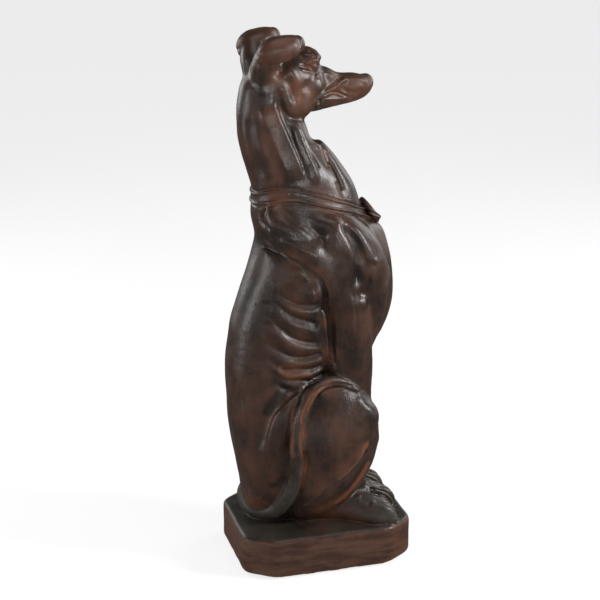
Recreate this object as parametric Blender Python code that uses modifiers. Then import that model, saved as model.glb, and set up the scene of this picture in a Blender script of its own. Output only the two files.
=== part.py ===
"""Cast concrete greyhound, sitting upright on a low plinth with cut corners.

Metres, +Z up. The dog faces -Y and its right side is -X. The origin is the middle of the underside.
The plinth has real sizes of its own. The figure keeps its pose and carving as shares of its own
height: a place on it is (ahead, right, up) in thousandths of the figure's height, from a point on
the plinth's top that lies FIGURE_AHEAD before its middle, and so are the radii and the widths.
"""
import math

import bmesh
import bpy
import numpy as np
from mathutils import Matrix, Vector

# Driving dimensions
PLINTH_LENGTH = 0.258
PLINTH_WIDTH = 0.192
PLINTH_HEIGHT = 0.0625
CUT_ALONG = 0.040
CUT_ACROSS = 0.028
TOP_ROUNDING = 0.006
FOOT_ROUNDING = 0.011
FIGURE_HEIGHT = 0.722
FIGURE_AHEAD = 0.001

# Pose, in degrees and thousandths of the figure's height
HEAD_TURN = 10
HEAD_PIVOT = -84
RIGHT_PAW = 32
LEFT_PAW = -50
HIND_PAW_SPLAY = 14

# How finely the figure is worked, the grain in thousandths of its height
GRAIN = 3.88
FIGURE_TRIANGLES = 9200
RING_SIDES = 32
STEPS_PER_STATION = 5

SHARE = FIGURE_HEIGHT / 1000.0


def place(ahead, right, up):
    """A place on the figure, in metres."""
    return Vector((-right * SHARE, -ahead * SHARE - FIGURE_AHEAD, PLINTH_HEIGHT + up * SHARE))


def smooth_rows(rows, steps):
    """Rows of numbers run through by a Catmull-Rom curve."""
    rows = np.array(rows, float)
    before = 2 * rows[0] - rows[1]
    after = 2 * rows[-1] - rows[-2]
    knots = np.vstack([before, rows, after])
    out = []
    for i in range(len(rows) - 1):
        a, b, c, d = knots[i:i + 4]
        for t in np.arange(steps) / steps:
            out.append(0.5 * ((2 * b) + (c - a) * t + (2 * a - 5 * b + 4 * c - d) * t ** 2
                              + (3 * b - a - 3 * c + d) * t ** 3))
    out.append(rows[-1])
    return np.array(out)


def skin(rings):
    """A closed mesh over a row of rings with the same number of points."""
    count, sides = len(rings), len(rings[0])
    shape = bmesh.new()
    verts = [[shape.verts.new(p) for p in ring] for ring in rings]
    for i in range(count - 1):
        for j in range(sides):
            k = (j + 1) % sides
            shape.faces.new((verts[i][j], verts[i][k], verts[i + 1][k], verts[i + 1][j]))
    shape.faces.new(list(reversed(verts[0])))
    shape.faces.new(verts[-1])
    bmesh.ops.recalc_face_normals(shape, faces=shape.faces)
    return shape


def loft(stations, level=False, squareness=2.0):
    """A limb or trunk: rows of (ahead, right, up, half across, half deep) along its middle.

    Half across runs to the dog's side. Half deep runs at right angles to it and to the limb, or
    straight ahead when the sections are level. Ends that are not level are domed.
    """
    rows = smooth_rows(stations, STEPS_PER_STATION)
    middle = rows[:, :3]
    across = np.maximum(rows[:, 3], 1.0)
    deep = np.maximum(rows[:, 4], 1.0)
    run = np.gradient(middle, axis=0)
    run /= np.linalg.norm(run, axis=1)[:, None]
    if level:
        side = np.tile([0.0, 1.0, 0.0], (len(rows), 1))
        front = np.tile([1.0, 0.0, 0.0], (len(rows), 1))
    else:
        side = np.array([0.0, 1.0, 0.0]) - run * run[:, 1:2]
        side /= np.linalg.norm(side, axis=1)[:, None]
        front = np.cross(side, run)
    turn = np.linspace(0, 2 * math.pi, RING_SIDES, endpoint=False)
    power = 2.0 / squareness
    cos = np.sign(np.cos(turn)) * np.abs(np.cos(turn)) ** power
    sin = np.sign(np.sin(turn)) * np.abs(np.sin(turn)) ** power

    def ring(i, size, shift):
        points = (middle[i] + run[i] * shift
                  + np.outer(cos, front[i]) * deep[i] * size
                  + np.outer(sin, side[i]) * across[i] * size)
        return [place(*p) for p in points]

    rings = []
    dome = [math.radians(a) for a in (15, 40, 65)]
    if not level:
        reach = min(across[0], deep[0])
        rings += [ring(0, math.sin(a), -reach * math.cos(a)) for a in dome]
    rings += [ring(i, 1.0, 0.0) for i in range(len(rows))]
    if not level:
        reach = min(across[-1], deep[-1])
        rings += [ring(-1, math.sin(a), reach * math.cos(a)) for a in reversed(dome)]
    return skin(rings)


def ball(middle, radii, pitch=0.0):
    """An egg: radii ahead, to the side and up, tipped nose-up by pitch degrees."""
    shape = bmesh.new()
    bmesh.ops.create_uvsphere(shape, u_segments=28, v_segments=18, radius=1.0)
    ahead, right, up = radii
    size = Matrix.Diagonal((right * SHARE, ahead * SHARE, up * SHARE, 1.0))
    turn = Matrix.Rotation(math.radians(-pitch), 4, "X")
    bmesh.ops.transform(shape, matrix=Matrix.Translation(place(*middle)) @ turn @ size,
                        verts=shape.verts)
    return shape


def both(shape):
    """A mass and its mirror image on the dog's other side."""
    other = shape.copy()
    for v in other.verts:
        v.co.x = -v.co.x
    bmesh.ops.reverse_faces(other, faces=other.faces)
    return [shape, other]


def trunk():
    """Back, rib cage, belly and the filled web behind the forelegs."""
    # up, back, front, half width
    sections = [
        (-25, -138, 20, 36), (0, -146, 20, 44), (40, -155, 22, 62), (80, -162, 22, 76),
        (128, -170, 18, 84), (180, -179, 14, 86), (229, -185, 10, 84), (283, -187, 10, 82),
        (337, -189, 40, 81), (390, -183, 72, 83), (431, -176, 92, 86), (492, -156, 98, 88),
        (532, -142, 96, 88), (572, -130, 90, 86), (602, -125, 84, 83), (644, -133, 74, 76),
        (690, -131, 58, 65), (720, -135, 40, 50)]
    body = loft([((b + f) / 2, 0, up, w, (f - b) / 2) for up, b, f, w in sections],
                level=True, squareness=2.2)
    web = loft([(20, 0, -25, 40, 60), (20, 0, 150, 44, 62), (20, 0, 300, 50, 66),
                (20, 0, 420, 50, 70)], level=True, squareness=2.6)
    return [body, web]


def breast():
    """Keel of the breastbone, with a breast muscle each side of it."""
    keel = loft([(70, 0, 330, 12, 16), (92, 0, 362, 26, 30), (104, 0, 400, 34, 40),
                 (110, 0, 450, 42, 48), (111, 0, 500, 44, 47), (105, 0, 550, 44, 46),
                 (88, 0, 600, 44, 47), (70, 0, 622, 44, 41), (52, 0, 650, 44, 38),
                 (30, 0, 700, 44, 41), (2, 0, 748, 36, 38), (-24, 0, 786, 30, 32)], level=True)
    muscle = loft([(10, 46, 640, 26, 30), (56, 52, 600, 30, 34), (88, 52, 545, 34, 38),
                   (94, 46, 480, 34, 40), (86, 42, 415, 28, 36), (70, 42, 360, 22, 30)])
    return [keel] + both(muscle)


def neck():
    """Long neck, set back and arched."""
    return [loft([(-32, 0, 640, 68, 98), (-30, 0, 690, 64, 100), (-50, 0, 735, 58, 92),
                  (-79, 0, 780, 54, 76), (-93, 0, 822, 51, 67), (-97, 0, 865, 49, 62),
                  (-92, 0, 905, 46, 58), (-84, 0, 930, 36, 46)], level=True)]


def shoulder():
    """Shoulder blade, upper arm and the swell of the ribs behind the elbow."""
    blade = loft([(-100, 48, 662, 18, 24), (-86, 58, 626, 27, 30), (-60, 67, 602, 33, 33),
                  (-33, 74, 578, 33, 33), (-10, 78, 545, 31, 31), (4, 78, 500, 28, 29)])
    point = loft([(-40, 54, 650, 20, 20), (0, 66, 626, 25, 24), (34, 73, 586, 28, 26),
                  (50, 70, 530, 27, 28), (50, 65, 460, 26, 32)])
    arm = loft([(6, 74, 592, 28, 30), (12, 78, 545, 28, 32), (14, 77, 490, 25, 30)])
    swell = ball((-44, 68, 505), (36, 26, 30))
    return both(blade) + both(point) + both(arm) + both(swell)


def foreleg(side, foot):
    """Straight foreleg with its paw. Side is 1 for the right one, foot is where the paw stands."""
    leg = loft([(40, side * 70, 480, 28, 42), (48, side * 66, 420, 29, 45),
                (54, side * 60, 330, 27, 46), (56, side * 52, 240, 25, 43),
                (55, side * 46, 120, 24, 37), (63, foot, 48, 26, 36), (67, foot, 6, 28, 40)])
    paw = loft([(70, foot, 24, 28, 42), (98, foot, 24, 31, 35), (120, foot, 18, 33, 29),
                (134, foot, 10, 31, 22)])
    return [leg, paw]


def toes(root, heading, offsets, stations, reach):
    """Four toes side by side, from (offset, how much shorter). Root is (ahead, right) of the paw.

    The stations are (step, up, half across, half deep), with the last step short of the reach.
    """
    shapes = []
    cos, sin = math.cos(math.radians(heading)), math.sin(math.radians(heading))
    for offset, shorter in offsets:
        rows = []
        for step, up, wide, tall in stations:
            step = step if step == 0 else reach - shorter - step
            rows.append((root[0] + step * cos - offset * sin, root[1] + step * sin + offset * cos,
                         up, wide, tall))
        shapes.append(loft(rows))
    return shapes


def front_toes(foot):
    offsets = [(-24, 9), (-8.2, 0), (8.2, 0), (24, 9)]
    return toes((105, foot), 0, offsets, [(0, 27, 10, 26), (20, 20, 10.5, 22), (5, 5, 8.5, 15)], 51)


def hind_toes():
    root = (94, 78)
    offsets = [(-24, 11), (-8.2, 4), (8.2, 0), (24, 0)]
    stations = [(0, 18, 10, 28), (20, 13, 10.5, 23), (5, 1, 8.5, 15)]
    shapes = toes(root, HIND_PAW_SPLAY, offsets, stations, 48)
    return [side for toe in shapes for side in both(toe)]


def haunch():
    """Folded hind leg: thigh, knee, shin and the muscle behind the thigh."""
    thigh = loft([(-34, 40, -6, 14, 30), (-20, 48, 24, 30, 52), (-4, 56, 70, 46, 78),
                  (4, 64, 130, 57, 98), (7, 67, 190, 58, 104), (8, 66, 240, 52, 96),
                  (8, 62, 278, 40, 74), (8, 58, 302, 24, 44), (8, 56, 313, 8, 16)],
                 level=True, squareness=2.15)
    knee = ball((78, 80, 226), (30, 30, 38))
    shin = loft([(84, 76, 180, 28, 27), (61, 76, 132, 30, 31), (33, 68, 90, 30, 33),
                 (0, 54, 52, 27, 32), (-40, 36, 26, 22, 26)])
    ham = loft([(-56, 78, 296, 12, 14), (-84, 82, 268, 18, 22), (-100, 80, 228, 23, 28),
                (-106, 74, 175, 24, 32), (-100, 60, 118, 24, 34), (-86, 44, 66, 20, 30)])
    return both(thigh) + both(knee) + both(shin) + both(ham)


def hind_foot():
    """Long hind foot from the hock to the splayed paw."""
    return both(loft([(-80, 18, 16, 24, 36), (-36, 30, 12, 26, 34), (20, 46, 12, 26, 36),
                      (66, 66, 17, 30, 37), (96, 80, 13, 37, 33), (114, 85, 6, 37, 27)]))


def tail():
    """The tail comes round the rump on the plinth, climbs the right haunch and ends on its top."""
    route = [(-126, -30, 66, 18), (-145, -28, 42, 17.5), (-145, -8, 25, 17), (-134, 12, 20, 17),
             (-120, 28, 20, 17), (-99, 52, 32, 16.5), (-86, 72, 60, 16), (-74, 92, 100, 15.5),
             (-69, 102, 141, 15), (-70, 108, 201, 14.5), (-66, 107, 241, 13.5),
             (-53, 102, 275, 12.5), (-28, 93, 304, 11), (8, 85, 314, 10), (37, 83, 305, 8),
             (60, 82, 290, 6)]
    return [loft([(a, r, u, size, size) for a, r, u, size in route])]


def to_head(shapes):
    """Masses modelled looking straight ahead, turned with the head to the dog's left."""
    pivot = place(HEAD_PIVOT, 0, 0)
    turn = (Matrix.Translation(pivot) @ Matrix.Rotation(math.radians(HEAD_TURN), 4, "Z")
            @ Matrix.Translation(-pivot))
    for shape in shapes:
        bmesh.ops.transform(shape, matrix=turn, verts=shape.verts)
    return shapes


def head():
    """Skull, jaw, brow, cheek, the long muzzle and the roots of the ears."""
    skull = ball((-66, 0, 914), (72, 46, 47))
    brow = ball((-24, 0, 932), (34, 35, 36))
    jaw = ball((-46, 25, 868), (32, 21, 38))
    cheek = ball((-20, 24, 893), (36, 17, 30))
    muzzle = loft([(-34, 0, 884, 36, 46), (7, 0, 883, 33, 45), (45, 0, 878, 26, 34),
                   (87, 0, 879, 23, 28.5), (104, 0, 883, 20, 24), (113, 0, 888, 15, 18)])
    pad = ball((86, 12, 883), (34, 13, 18), pitch=-2)
    root = loft([(-113, 14, 918, 26, 29), (-115, 26, 946, 24, 27), (-112, 37, 968, 21, 23),
                 (-106, 44, 983, 15, 15)])
    return to_head([skull, brow, muzzle] + both(jaw) + both(cheek) + both(pad) + both(root))


def eyes():
    """Eyeballs under heavy lids."""
    eye = ball((-23, 29, 936), (17, 10, 13))
    lid = ball((-20, 21, 949), (22, 15, 10), pitch=-10)
    return to_head(both(eye) + both(lid))


def ears():
    """Ears folded over, each a thick leaf along the side of the skull."""
    return to_head(both(loft([
        (-131, 41, 957, 12, 10), (-124, 44, 965, 21, 19), (-110, 46, 971, 25, 23.5),
        (-95, 48, 973, 27, 24.5), (-83, 50, 977, 25, 21.5), (-70, 52, 980, 21, 18),
        (-59, 53, 981, 15, 15)], squareness=2.6)))


def tag():
    """Round tag lying on the breast, over the front of the collar."""
    radius, thickness, lean = 31, 12, 54
    shape = bmesh.new()
    bmesh.ops.create_cone(shape, cap_ends=True, segments=28, radius1=radius * SHARE,
                          radius2=radius * SHARE, depth=thickness * SHARE)
    turn = Matrix.Rotation(math.radians(lean), 4, "X")
    bmesh.ops.transform(shape, matrix=Matrix.Translation(place(110, 0, 636.5)) @ turn,
                        verts=shape.verts)
    return [shape]


def join(shapes, onto):
    """Adds masses to an object's mesh. They still pass through each other."""
    whole = bmesh.new()
    whole.from_mesh(onto.data)
    for shape in shapes:
        mass = bpy.data.meshes.new("mass")
        shape.to_mesh(mass)
        shape.free()
        whole.from_mesh(mass)
        bpy.data.meshes.remove(mass)
    whole.to_mesh(onto.data)
    whole.free()


def settle(thing):
    """Bakes the modifiers of an object into its mesh."""
    graph = bpy.context.evaluated_depsgraph_get()
    mesh = bpy.data.meshes.new_from_object(thing.evaluated_get(graph))
    old = thing.data
    thing.modifiers.clear()
    thing.data = mesh
    bpy.data.meshes.remove(old)


def fuse(thing, shapes, rounds):
    """One skin over the object and the new masses, its inner corners softened in some rounds."""
    join(shapes, thing)
    remesh = thing.modifiers.new("fuse", "REMESH")
    remesh.mode = "VOXEL"
    remesh.voxel_size = GRAIN * SHARE
    soften = thing.modifiers.new("soften", "SMOOTH")
    soften.factor = 0.5
    soften.iterations = rounds
    settle(thing)


def near_line(points, line):
    """How far each point is from a bent line, and where along it the nearest place is, 0 to 1."""
    gap = np.full(len(points), np.inf)
    along = np.zeros(len(points))
    lengths = np.linalg.norm(np.diff(line, axis=0), axis=1)
    start = 0.0
    for a, b, length in zip(line[:-1], line[1:], lengths):
        t = np.clip((points - a) @ (b - a) / length ** 2, 0, 1)
        reach = np.linalg.norm(points - a - t[:, None] * (b - a), axis=1)
        closer = reach < gap
        gap[closer] = reach[closer]
        along[closer] = (start + t[closer] * length) / lengths.sum()
        start += length
    return gap, along


def read_skin(thing):
    """The points of a mesh and its outward normals in metres, and each point's ahead, right and up."""
    count = len(thing.data.vertices)
    at, out = np.empty(count * 3), np.empty(count * 3)
    thing.data.vertices.foreach_get("co", at)
    thing.data.vertex_normals.foreach_get("vector", out)
    at, out = at.reshape(-1, 3), out.reshape(-1, 3)
    figure = np.stack([-(at[:, 1] + FIGURE_AHEAD), -at[:, 0], at[:, 2] - PLINTH_HEIGHT]) / SHARE
    return at, out, *figure


def swell_by(thing, at, out, shift):
    """Moves each point outward by its share of the figure's height."""
    thing.data.vertices.foreach_set("co", (at + out * (shift * SHARE)[:, None]).ravel())
    thing.data.update()


def carve(thing, strokes, turn=0.0):
    """Raises or sinks the surface along lines drawn on the side of the dog.

    A stroke is (line of (ahead, up), half width, height); a height below zero is a groove. It
    fades out to each side as a bell curve and over the last sixth of its length, and it marks
    only what faces that side. Both sides are carved alike, in the turned head's own frame if a
    turn is given.
    """
    at, out, ahead, right, up = read_skin(thing)
    cos, sin = math.cos(math.radians(turn)), math.sin(math.radians(turn))
    ahead = ahead - HEAD_PIVOT
    flat = np.stack([ahead * cos - right * sin + HEAD_PIVOT, up], axis=1)
    off_middle = right * cos + ahead * sin
    facing = -out[:, 0] * cos - out[:, 1] * sin
    shift = np.zeros(len(at))
    for line, width, height in strokes:
        gap, along = near_line(flat, smooth_rows(line, 6))
        fade = np.clip(np.minimum(along, 1 - along) * 6, 0, 1)
        bell = height * np.exp(-(gap / width) ** 2) * fade * fade * (3 - 2 * fade)
        for side in (1, -1):
            shift += bell * np.clip(facing * side * 2, 0, 1) * (off_middle * side > 2)
    swell_by(thing, at, out, shift)


def halfway(one, other):
    """The line midway between two lines."""
    share = np.linspace(0, 1, 6)
    rows = [np.array(line, float) for line in (one, other)]
    even = [np.stack([np.interp(share, np.linspace(0, 1, len(row)), row[:, k]) for k in (0, 1)], axis=1)
            for row in rows]
    return (even[0] + even[1]) / 2


def ribs():
    """Ribs that hook down and forward from the back, with a crease between neighbours."""
    creases = [
        [(-87, 494), (-76, 484), (-57, 477), (-37, 475), (-19, 478)],
        [(-100, 485), (-91, 473), (-79, 462), (-60, 449), (-40, 442), (-21, 433)],
        [(-115, 457), (-104, 439), (-91, 427), (-78, 414), (-60, 404), (-39, 397), (-15, 393)],
        [(-131, 412), (-117, 398), (-98, 384), (-79, 373), (-59, 367), (-34, 366), (-11, 370)],
        [(-125, 380), (-114, 367), (-99, 351), (-83, 342), (-59, 342), (-33, 339), (-7, 343)],
        [(-116, 345), (-99, 331), (-79, 322), (-57, 318), (-30, 316), (-3, 326)],
        [(-114, 328), (-100, 314), (-85, 304), (-71, 300), (-58, 307)]]
    strokes = [(line, 6, -6.0) for line in creases]
    for upper, lower in zip(creases, creases[1:]):
        strokes.append((halfway(upper, lower), 9, 4.0))
    return strokes


def shoulder_strokes():
    rim = [(-119, 600), (-101, 583), (-79, 577), (-62, 566), (-44, 554), (-29, 540), (-19, 523),
           (-12, 504)]
    return [
        (rim, 7, -6.5),
        ([(x + 10, y + 11) for x, y in rim], 10, 4.5),
        ([(-113, 670), (-121, 658), (-122, 645), (-119, 633), (-110, 625), (-97, 620)], 9, -7.0),
        ([(-104, 622), (-76, 615), (-49, 610), (-20, 607)], 10, -6.0),
        ([(-104, 650), (-82, 649), (-58, 650)], 15, 6.0),
        ([(-20, 657), (0, 645), (21, 635), (42, 618), (58, 602), (69, 587), (77, 571), (80, 554),
          (80, 520), (80, 495)], 9, 6.5),
        ([(0, 631), (10, 622), (22, 608), (29, 590), (35, 573), (38, 545), (40, 510)], 11, 7.5),
        ([(7, 636), (28, 628), (42, 609), (49, 591), (54, 571), (55, 548), (57, 527), (61, 500)],
         7.5, -10.0),
        ([(62, 504), (64, 494), (65, 484)], 8, -7.0),
        ([(-50, 506), (-38, 503), (-26, 502)], 16, 5.0),
    ]


def leg_strokes():
    return [
        ([(-16, 517), (-11, 494), (-7, 473), (0, 451), (7, 418), (10, 385), (13, 353), (18, 329)],
         6.5, -8.0),
        ([(-13, 462), (-10, 433), (-4, 400), (2, 365), (9, 338)], 5, 3.5),
        ([(99, 572), (100, 557), (92, 535), (87, 508), (83, 482)], 7, 3.5),
        ([(89, 559), (84, 535), (77, 506)], 7, -4.0),
    ]


def breast_strokes():
    return [
        ([(84, 634), (116, 597), (132, 567), (137, 531), (124, 500), (110, 468), (98, 434)], 10, 5.0),
    ]


def neck_strokes():
    return [
        ([(-105, 886), (-100, 825), (-87, 794), (-72, 760), (-57, 731), (-44, 706)], 14, 4.5),
        ([(-84, 858), (-67, 799), (-54, 762), (-42, 733), (-32, 712)], 6.5, -7.0),
        ([(-60, 838), (-49, 802), (-39, 769), (-29, 741), (-14, 712), (2, 690)], 8, 5.0),
        ([(-24, 818), (-8, 786), (4, 763), (17, 740), (32, 708), (46, 674)], 7, -5.0),
        ([(-144, 850), (-142, 818), (-139, 790), (-129, 753), (-116, 716)], 9, -3.5),
    ]


def haunch_strokes():
    return [
        ([(79, 176), (59, 150), (36, 126), (15, 109), (-8, 92), (-36, 62), (-54, 40)], 7, -6.0),
        ([(69, 190), (51, 164), (30, 143), (8, 124), (-13, 107), (-37, 80), (-56, 53)], 8, 3.0),
        ([(78, 138), (58, 104), (36, 81), (17, 58), (-13, 41), (-36, 29)], 7, -4.5),
        ([(-74, 290), (-81, 285), (-98, 272), (-111, 251), (-122, 229), (-128, 203), (-132, 173)],
         9, -6.0),
        ([(-76, 262), (-86, 251), (-103, 233), (-115, 214), (-124, 191)], 9, 3.5),
        ([(-106, 326), (-114, 300), (-120, 268), (-126, 244)], 12, -3.0),
        ([(-76, 285), (-84, 240), (-86, 190), (-84, 140)], 7, -4.5),
        ([(-34, 283), (-50, 240), (-52, 190), (-50, 140), (-58, 95)], 6, -4.5),
    ]


def face_strokes():
    return [
        ([(-92, 866), (-76, 846), (-52, 838), (-32, 846)], 5, -5.0),
        ([(-10, 858), (-9, 870), (2, 878), (26, 878), (52, 872), (84, 868), (108, 874)], 4, -4.0),
        ([(8, 865), (34, 857), (62, 862)], 4, 2.5),
        ([(36, 882), (46, 893), (64, 901), (90, 900)], 4, 2.5),
        ([(-48, 932), (-24, 923), (-14, 916), (-8, 908)], 3, 2.5),
        ([(-44, 924), (-22, 915), (-12, 908)], 4, -3.0),
        ([(-34, 947), (-18, 941), (-4, 934)], 3, -2.5),
        ([(-8, 930), (20, 906), (44, 896)], 6, -3.0),
        ([(-74, 950), (-68, 927), (-62, 912), (-54, 899), (-48, 886), (-44, 872)], 9, 5.0),
        ([(-94, 912), (-85, 896), (-80, 878)], 11, -5.0),
    ]


# Where the collar runs round the foot of the neck: ahead, up, half width
COLLAR = [(-140, 677, 10.5), (-104, 690, 11), (-73, 693, 10.5), (-48, 690, 9.5), (-27, 683.5, 9),
          (6, 673, 9), (42, 660, 8), (70, 648, 7), (100, 633, 6.5), (125, 618, 6.5)]
COLLAR_STAND = 2.5
COLLAR_WELT = 3.0


def collar(thing):
    """Flat collar with a raised welt along both edges, lifted out of the neck."""
    at, out, ahead, _, up = read_skin(thing)
    rows = smooth_rows(COLLAR, 6)
    middle = np.interp(ahead, rows[:, 0], rows[:, 1])
    half = np.interp(ahead, rows[:, 0], rows[:, 2])
    across = np.abs(up - middle) / half
    band = np.clip((1.15 - across) / 0.3, 0, 1)
    welt = np.exp(-((across - 0.85) / 0.25) ** 2)
    swell_by(thing, at, out, COLLAR_STAND * band + COLLAR_WELT * welt)


def fill_pockets(thing):
    """Keeps the outer skin alone, so a pocket sealed between the toes and the plinth is solid."""
    shape = bmesh.new()
    shape.from_mesh(thing.data)
    left = set(shape.verts)
    skins = []
    while left:
        edge = [left.pop()]
        found = set(edge)
        while edge:
            edge = [e.other_vert(v) for v in edge for e in v.link_edges]
            edge = [v for v in dict.fromkeys(edge) if v not in found]
            found.update(edge)
        left -= found
        skins.append(found)
    skins.sort(key=len)
    for small in skins[:-1]:
        bmesh.ops.delete(shape, geom=list(small), context="VERTS")
    shape.to_mesh(thing.data)
    shape.free()


def thin_out(thing):
    """Fewer triangles, kept where the surface bends."""
    count = sum(len(p.vertices) - 2 for p in thing.data.polygons)
    thin = thing.modifiers.new("thin", "DECIMATE")
    thin.ratio = FIGURE_TRIANGLES / count
    settle(thing)


def plinth():
    """Low block with cut corners and soft edges."""
    across, along = PLINTH_WIDTH / 2, PLINTH_LENGTH / 2
    end, side = across - CUT_ACROSS, along - CUT_ALONG
    outline = [(across, -side), (across, side), (end, along), (-end, along),
               (-across, side), (-across, -side), (-end, -along), (end, -along)]
    shape = skin([[(x, y, z) for x, y in outline] for z in (0.0, PLINTH_HEIGHT)])
    for height, rounding in ((PLINTH_HEIGHT, TOP_ROUNDING), (0.0, FOOT_ROUNDING)):
        rim = [e for e in shape.edges if all(abs(v.co.z - height) < 1e-6 for v in e.verts)]
        bmesh.ops.bevel(shape, geom=rim, offset=rounding, segments=2, affect="EDGES", profile=0.5)
    mesh = bpy.data.meshes.new("plinth")
    shape.to_mesh(mesh)
    shape.free()
    thing = bpy.data.objects.new("plinth", mesh)
    bpy.context.scene.collection.objects.link(thing)
    return thing


def stand(thing, base):
    """The figure and its plinth as one body."""
    union = thing.modifiers.new("stand", "BOOLEAN")
    union.operation = "UNION"
    union.solver = "EXACT"
    union.object = base
    settle(thing)
    bpy.data.objects.remove(base, do_unlink=True)


def concrete():
    """Dark brown lacquered concrete."""
    material = bpy.data.materials.new("brown_lacquered_concrete")
    material.use_nodes = True
    surface = material.node_tree.nodes["Principled BSDF"]
    surface.inputs["Base Color"].default_value = (0.055, 0.026, 0.017, 1)
    surface.inputs["Roughness"].default_value = 0.32
    surface.inputs["Metallic"].default_value = 0.0
    return material


def main():
    for thing in list(bpy.data.objects):
        bpy.data.objects.remove(thing, do_unlink=True)
    parts = bpy.data.collections.new("concrete_greyhound_statue")
    bpy.context.scene.collection.children.link(parts)
    statue = bpy.data.objects.new("greyhound_statue", bpy.data.meshes.new("greyhound_statue"))
    parts.objects.link(statue)
    fuse(statue, trunk() + breast() + neck() + head() + haunch()
         + foreleg(1, RIGHT_PAW) + foreleg(-1, LEFT_PAW), 9)
    fuse(statue, shoulder() + hind_foot() + eyes(), 4)
    carve(statue, ribs() + shoulder_strokes() + leg_strokes() + breast_strokes()
          + neck_strokes() + haunch_strokes())
    collar(statue)
    fuse(statue, ears() + tag() + tail() + front_toes(RIGHT_PAW) + front_toes(LEFT_PAW)
         + hind_toes(), 2)
    carve(statue, face_strokes(), HEAD_TURN)
    thin_out(statue)
    stand(statue, plinth())
    fill_pockets(statue)
    statue.data.materials.clear()
    statue.data.materials.append(concrete())
    statue.data.shade_smooth()


main()
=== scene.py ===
# Concrete greyhound statue: one lacquered casting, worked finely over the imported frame
import math

import bmesh
import bpy
import numpy as np
from mathutils import Matrix, Vector
from mathutils.bvhtree import BVHTree


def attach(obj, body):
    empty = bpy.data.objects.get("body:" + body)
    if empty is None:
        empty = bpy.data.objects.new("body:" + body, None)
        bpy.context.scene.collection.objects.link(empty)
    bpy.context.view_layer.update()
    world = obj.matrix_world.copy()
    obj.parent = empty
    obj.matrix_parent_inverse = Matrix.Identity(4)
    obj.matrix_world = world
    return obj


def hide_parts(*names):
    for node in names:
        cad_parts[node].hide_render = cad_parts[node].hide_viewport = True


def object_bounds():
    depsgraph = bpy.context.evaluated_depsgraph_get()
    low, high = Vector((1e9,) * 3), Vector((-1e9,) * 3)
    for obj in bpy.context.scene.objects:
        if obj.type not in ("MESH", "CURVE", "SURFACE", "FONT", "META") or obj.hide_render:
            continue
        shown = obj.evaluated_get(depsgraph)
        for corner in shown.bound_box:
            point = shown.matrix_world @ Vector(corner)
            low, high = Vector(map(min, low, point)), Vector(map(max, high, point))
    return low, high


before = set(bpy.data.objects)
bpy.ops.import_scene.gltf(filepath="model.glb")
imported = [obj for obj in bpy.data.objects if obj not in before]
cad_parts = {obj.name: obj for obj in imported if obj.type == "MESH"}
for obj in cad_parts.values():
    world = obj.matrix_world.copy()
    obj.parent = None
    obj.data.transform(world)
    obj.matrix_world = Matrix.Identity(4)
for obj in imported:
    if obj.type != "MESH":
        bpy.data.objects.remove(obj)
cadLow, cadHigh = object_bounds()
print("frame loaded", [round(v, 4) for v in (*cadLow, *cadHigh)])

# The figure is laid out in thousandths of its own height: ahead, to the dog's right, and up from the plinth
castingSize = {"plinthHeight": 0.0625, "figureAhead": 0.001, "earTops": 998.1}
plinthHeight, figureAhead = castingSize["plinthHeight"], castingSize["figureAhead"]
share = (cadHigh.z - plinthHeight) / castingSize["earTops"]
mirror = np.array([1.0, -1.0, 1.0])  # what is to the right comes to the left


def toMetres(points):
    # x = -right, y = -ahead, z = plinth + up, all scaled by the figure's share
    ahead, right, up = (np.asarray(points, float) * share).T
    return np.stack([-right, -ahead - figureAhead, plinthHeight + up], axis=1)


def toFigure(points):
    ahead, right, up = -(points[:, 1] + figureAhead), -points[:, 0], points[:, 2] - plinthHeight
    return np.stack([ahead, right, up], axis=1) / share


def toFigureWay(ways):
    # a direction, along ahead, right and up
    return np.stack([-ways[:, 1], -ways[:, 0], ways[:, 2]], axis=1)


def throughStations(stations, steps):
    # each number of the stations runs through its values on a Catmull-Rom curve
    knots = np.array(stations, float)
    knots = np.vstack([2 * knots[0] - knots[1], knots, 2 * knots[-1] - knots[-2]])
    t = np.arange(steps)[:, None] / steps
    runs = [0.5 * (2 * b + (c - a) * t + (2 * a - 5 * b + 4 * c - d) * t ** 2
                   + (3 * b - a - 3 * c + d) * t ** 3)
            for a, b, c, d in zip(knots, knots[1:], knots[2:], knots[3:])]
    return np.vstack(runs + [knots[-2:-1]])


def smoothStep(low, high, value):
    t = np.clip((value - low) / (high - low), 0, 1)
    return t * t * (3 - 2 * t)


def gridFaces(rows, sides):
    # the quads between neighbouring rings of a closed row of rings
    i, j = np.meshgrid(np.arange(rows - 1), np.arange(sides), indexing="ij")
    k = (j + 1) % sides
    corners = [i * sides + j, i * sides + k, (i + 1) * sides + k, (i + 1) * sides + j]
    return np.stack(corners, axis=-1).reshape(-1, 4)


limbMesh = {"sides": 64, "steps": 12, "dome": (4, 15, 32, 50, 70)}


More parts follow.
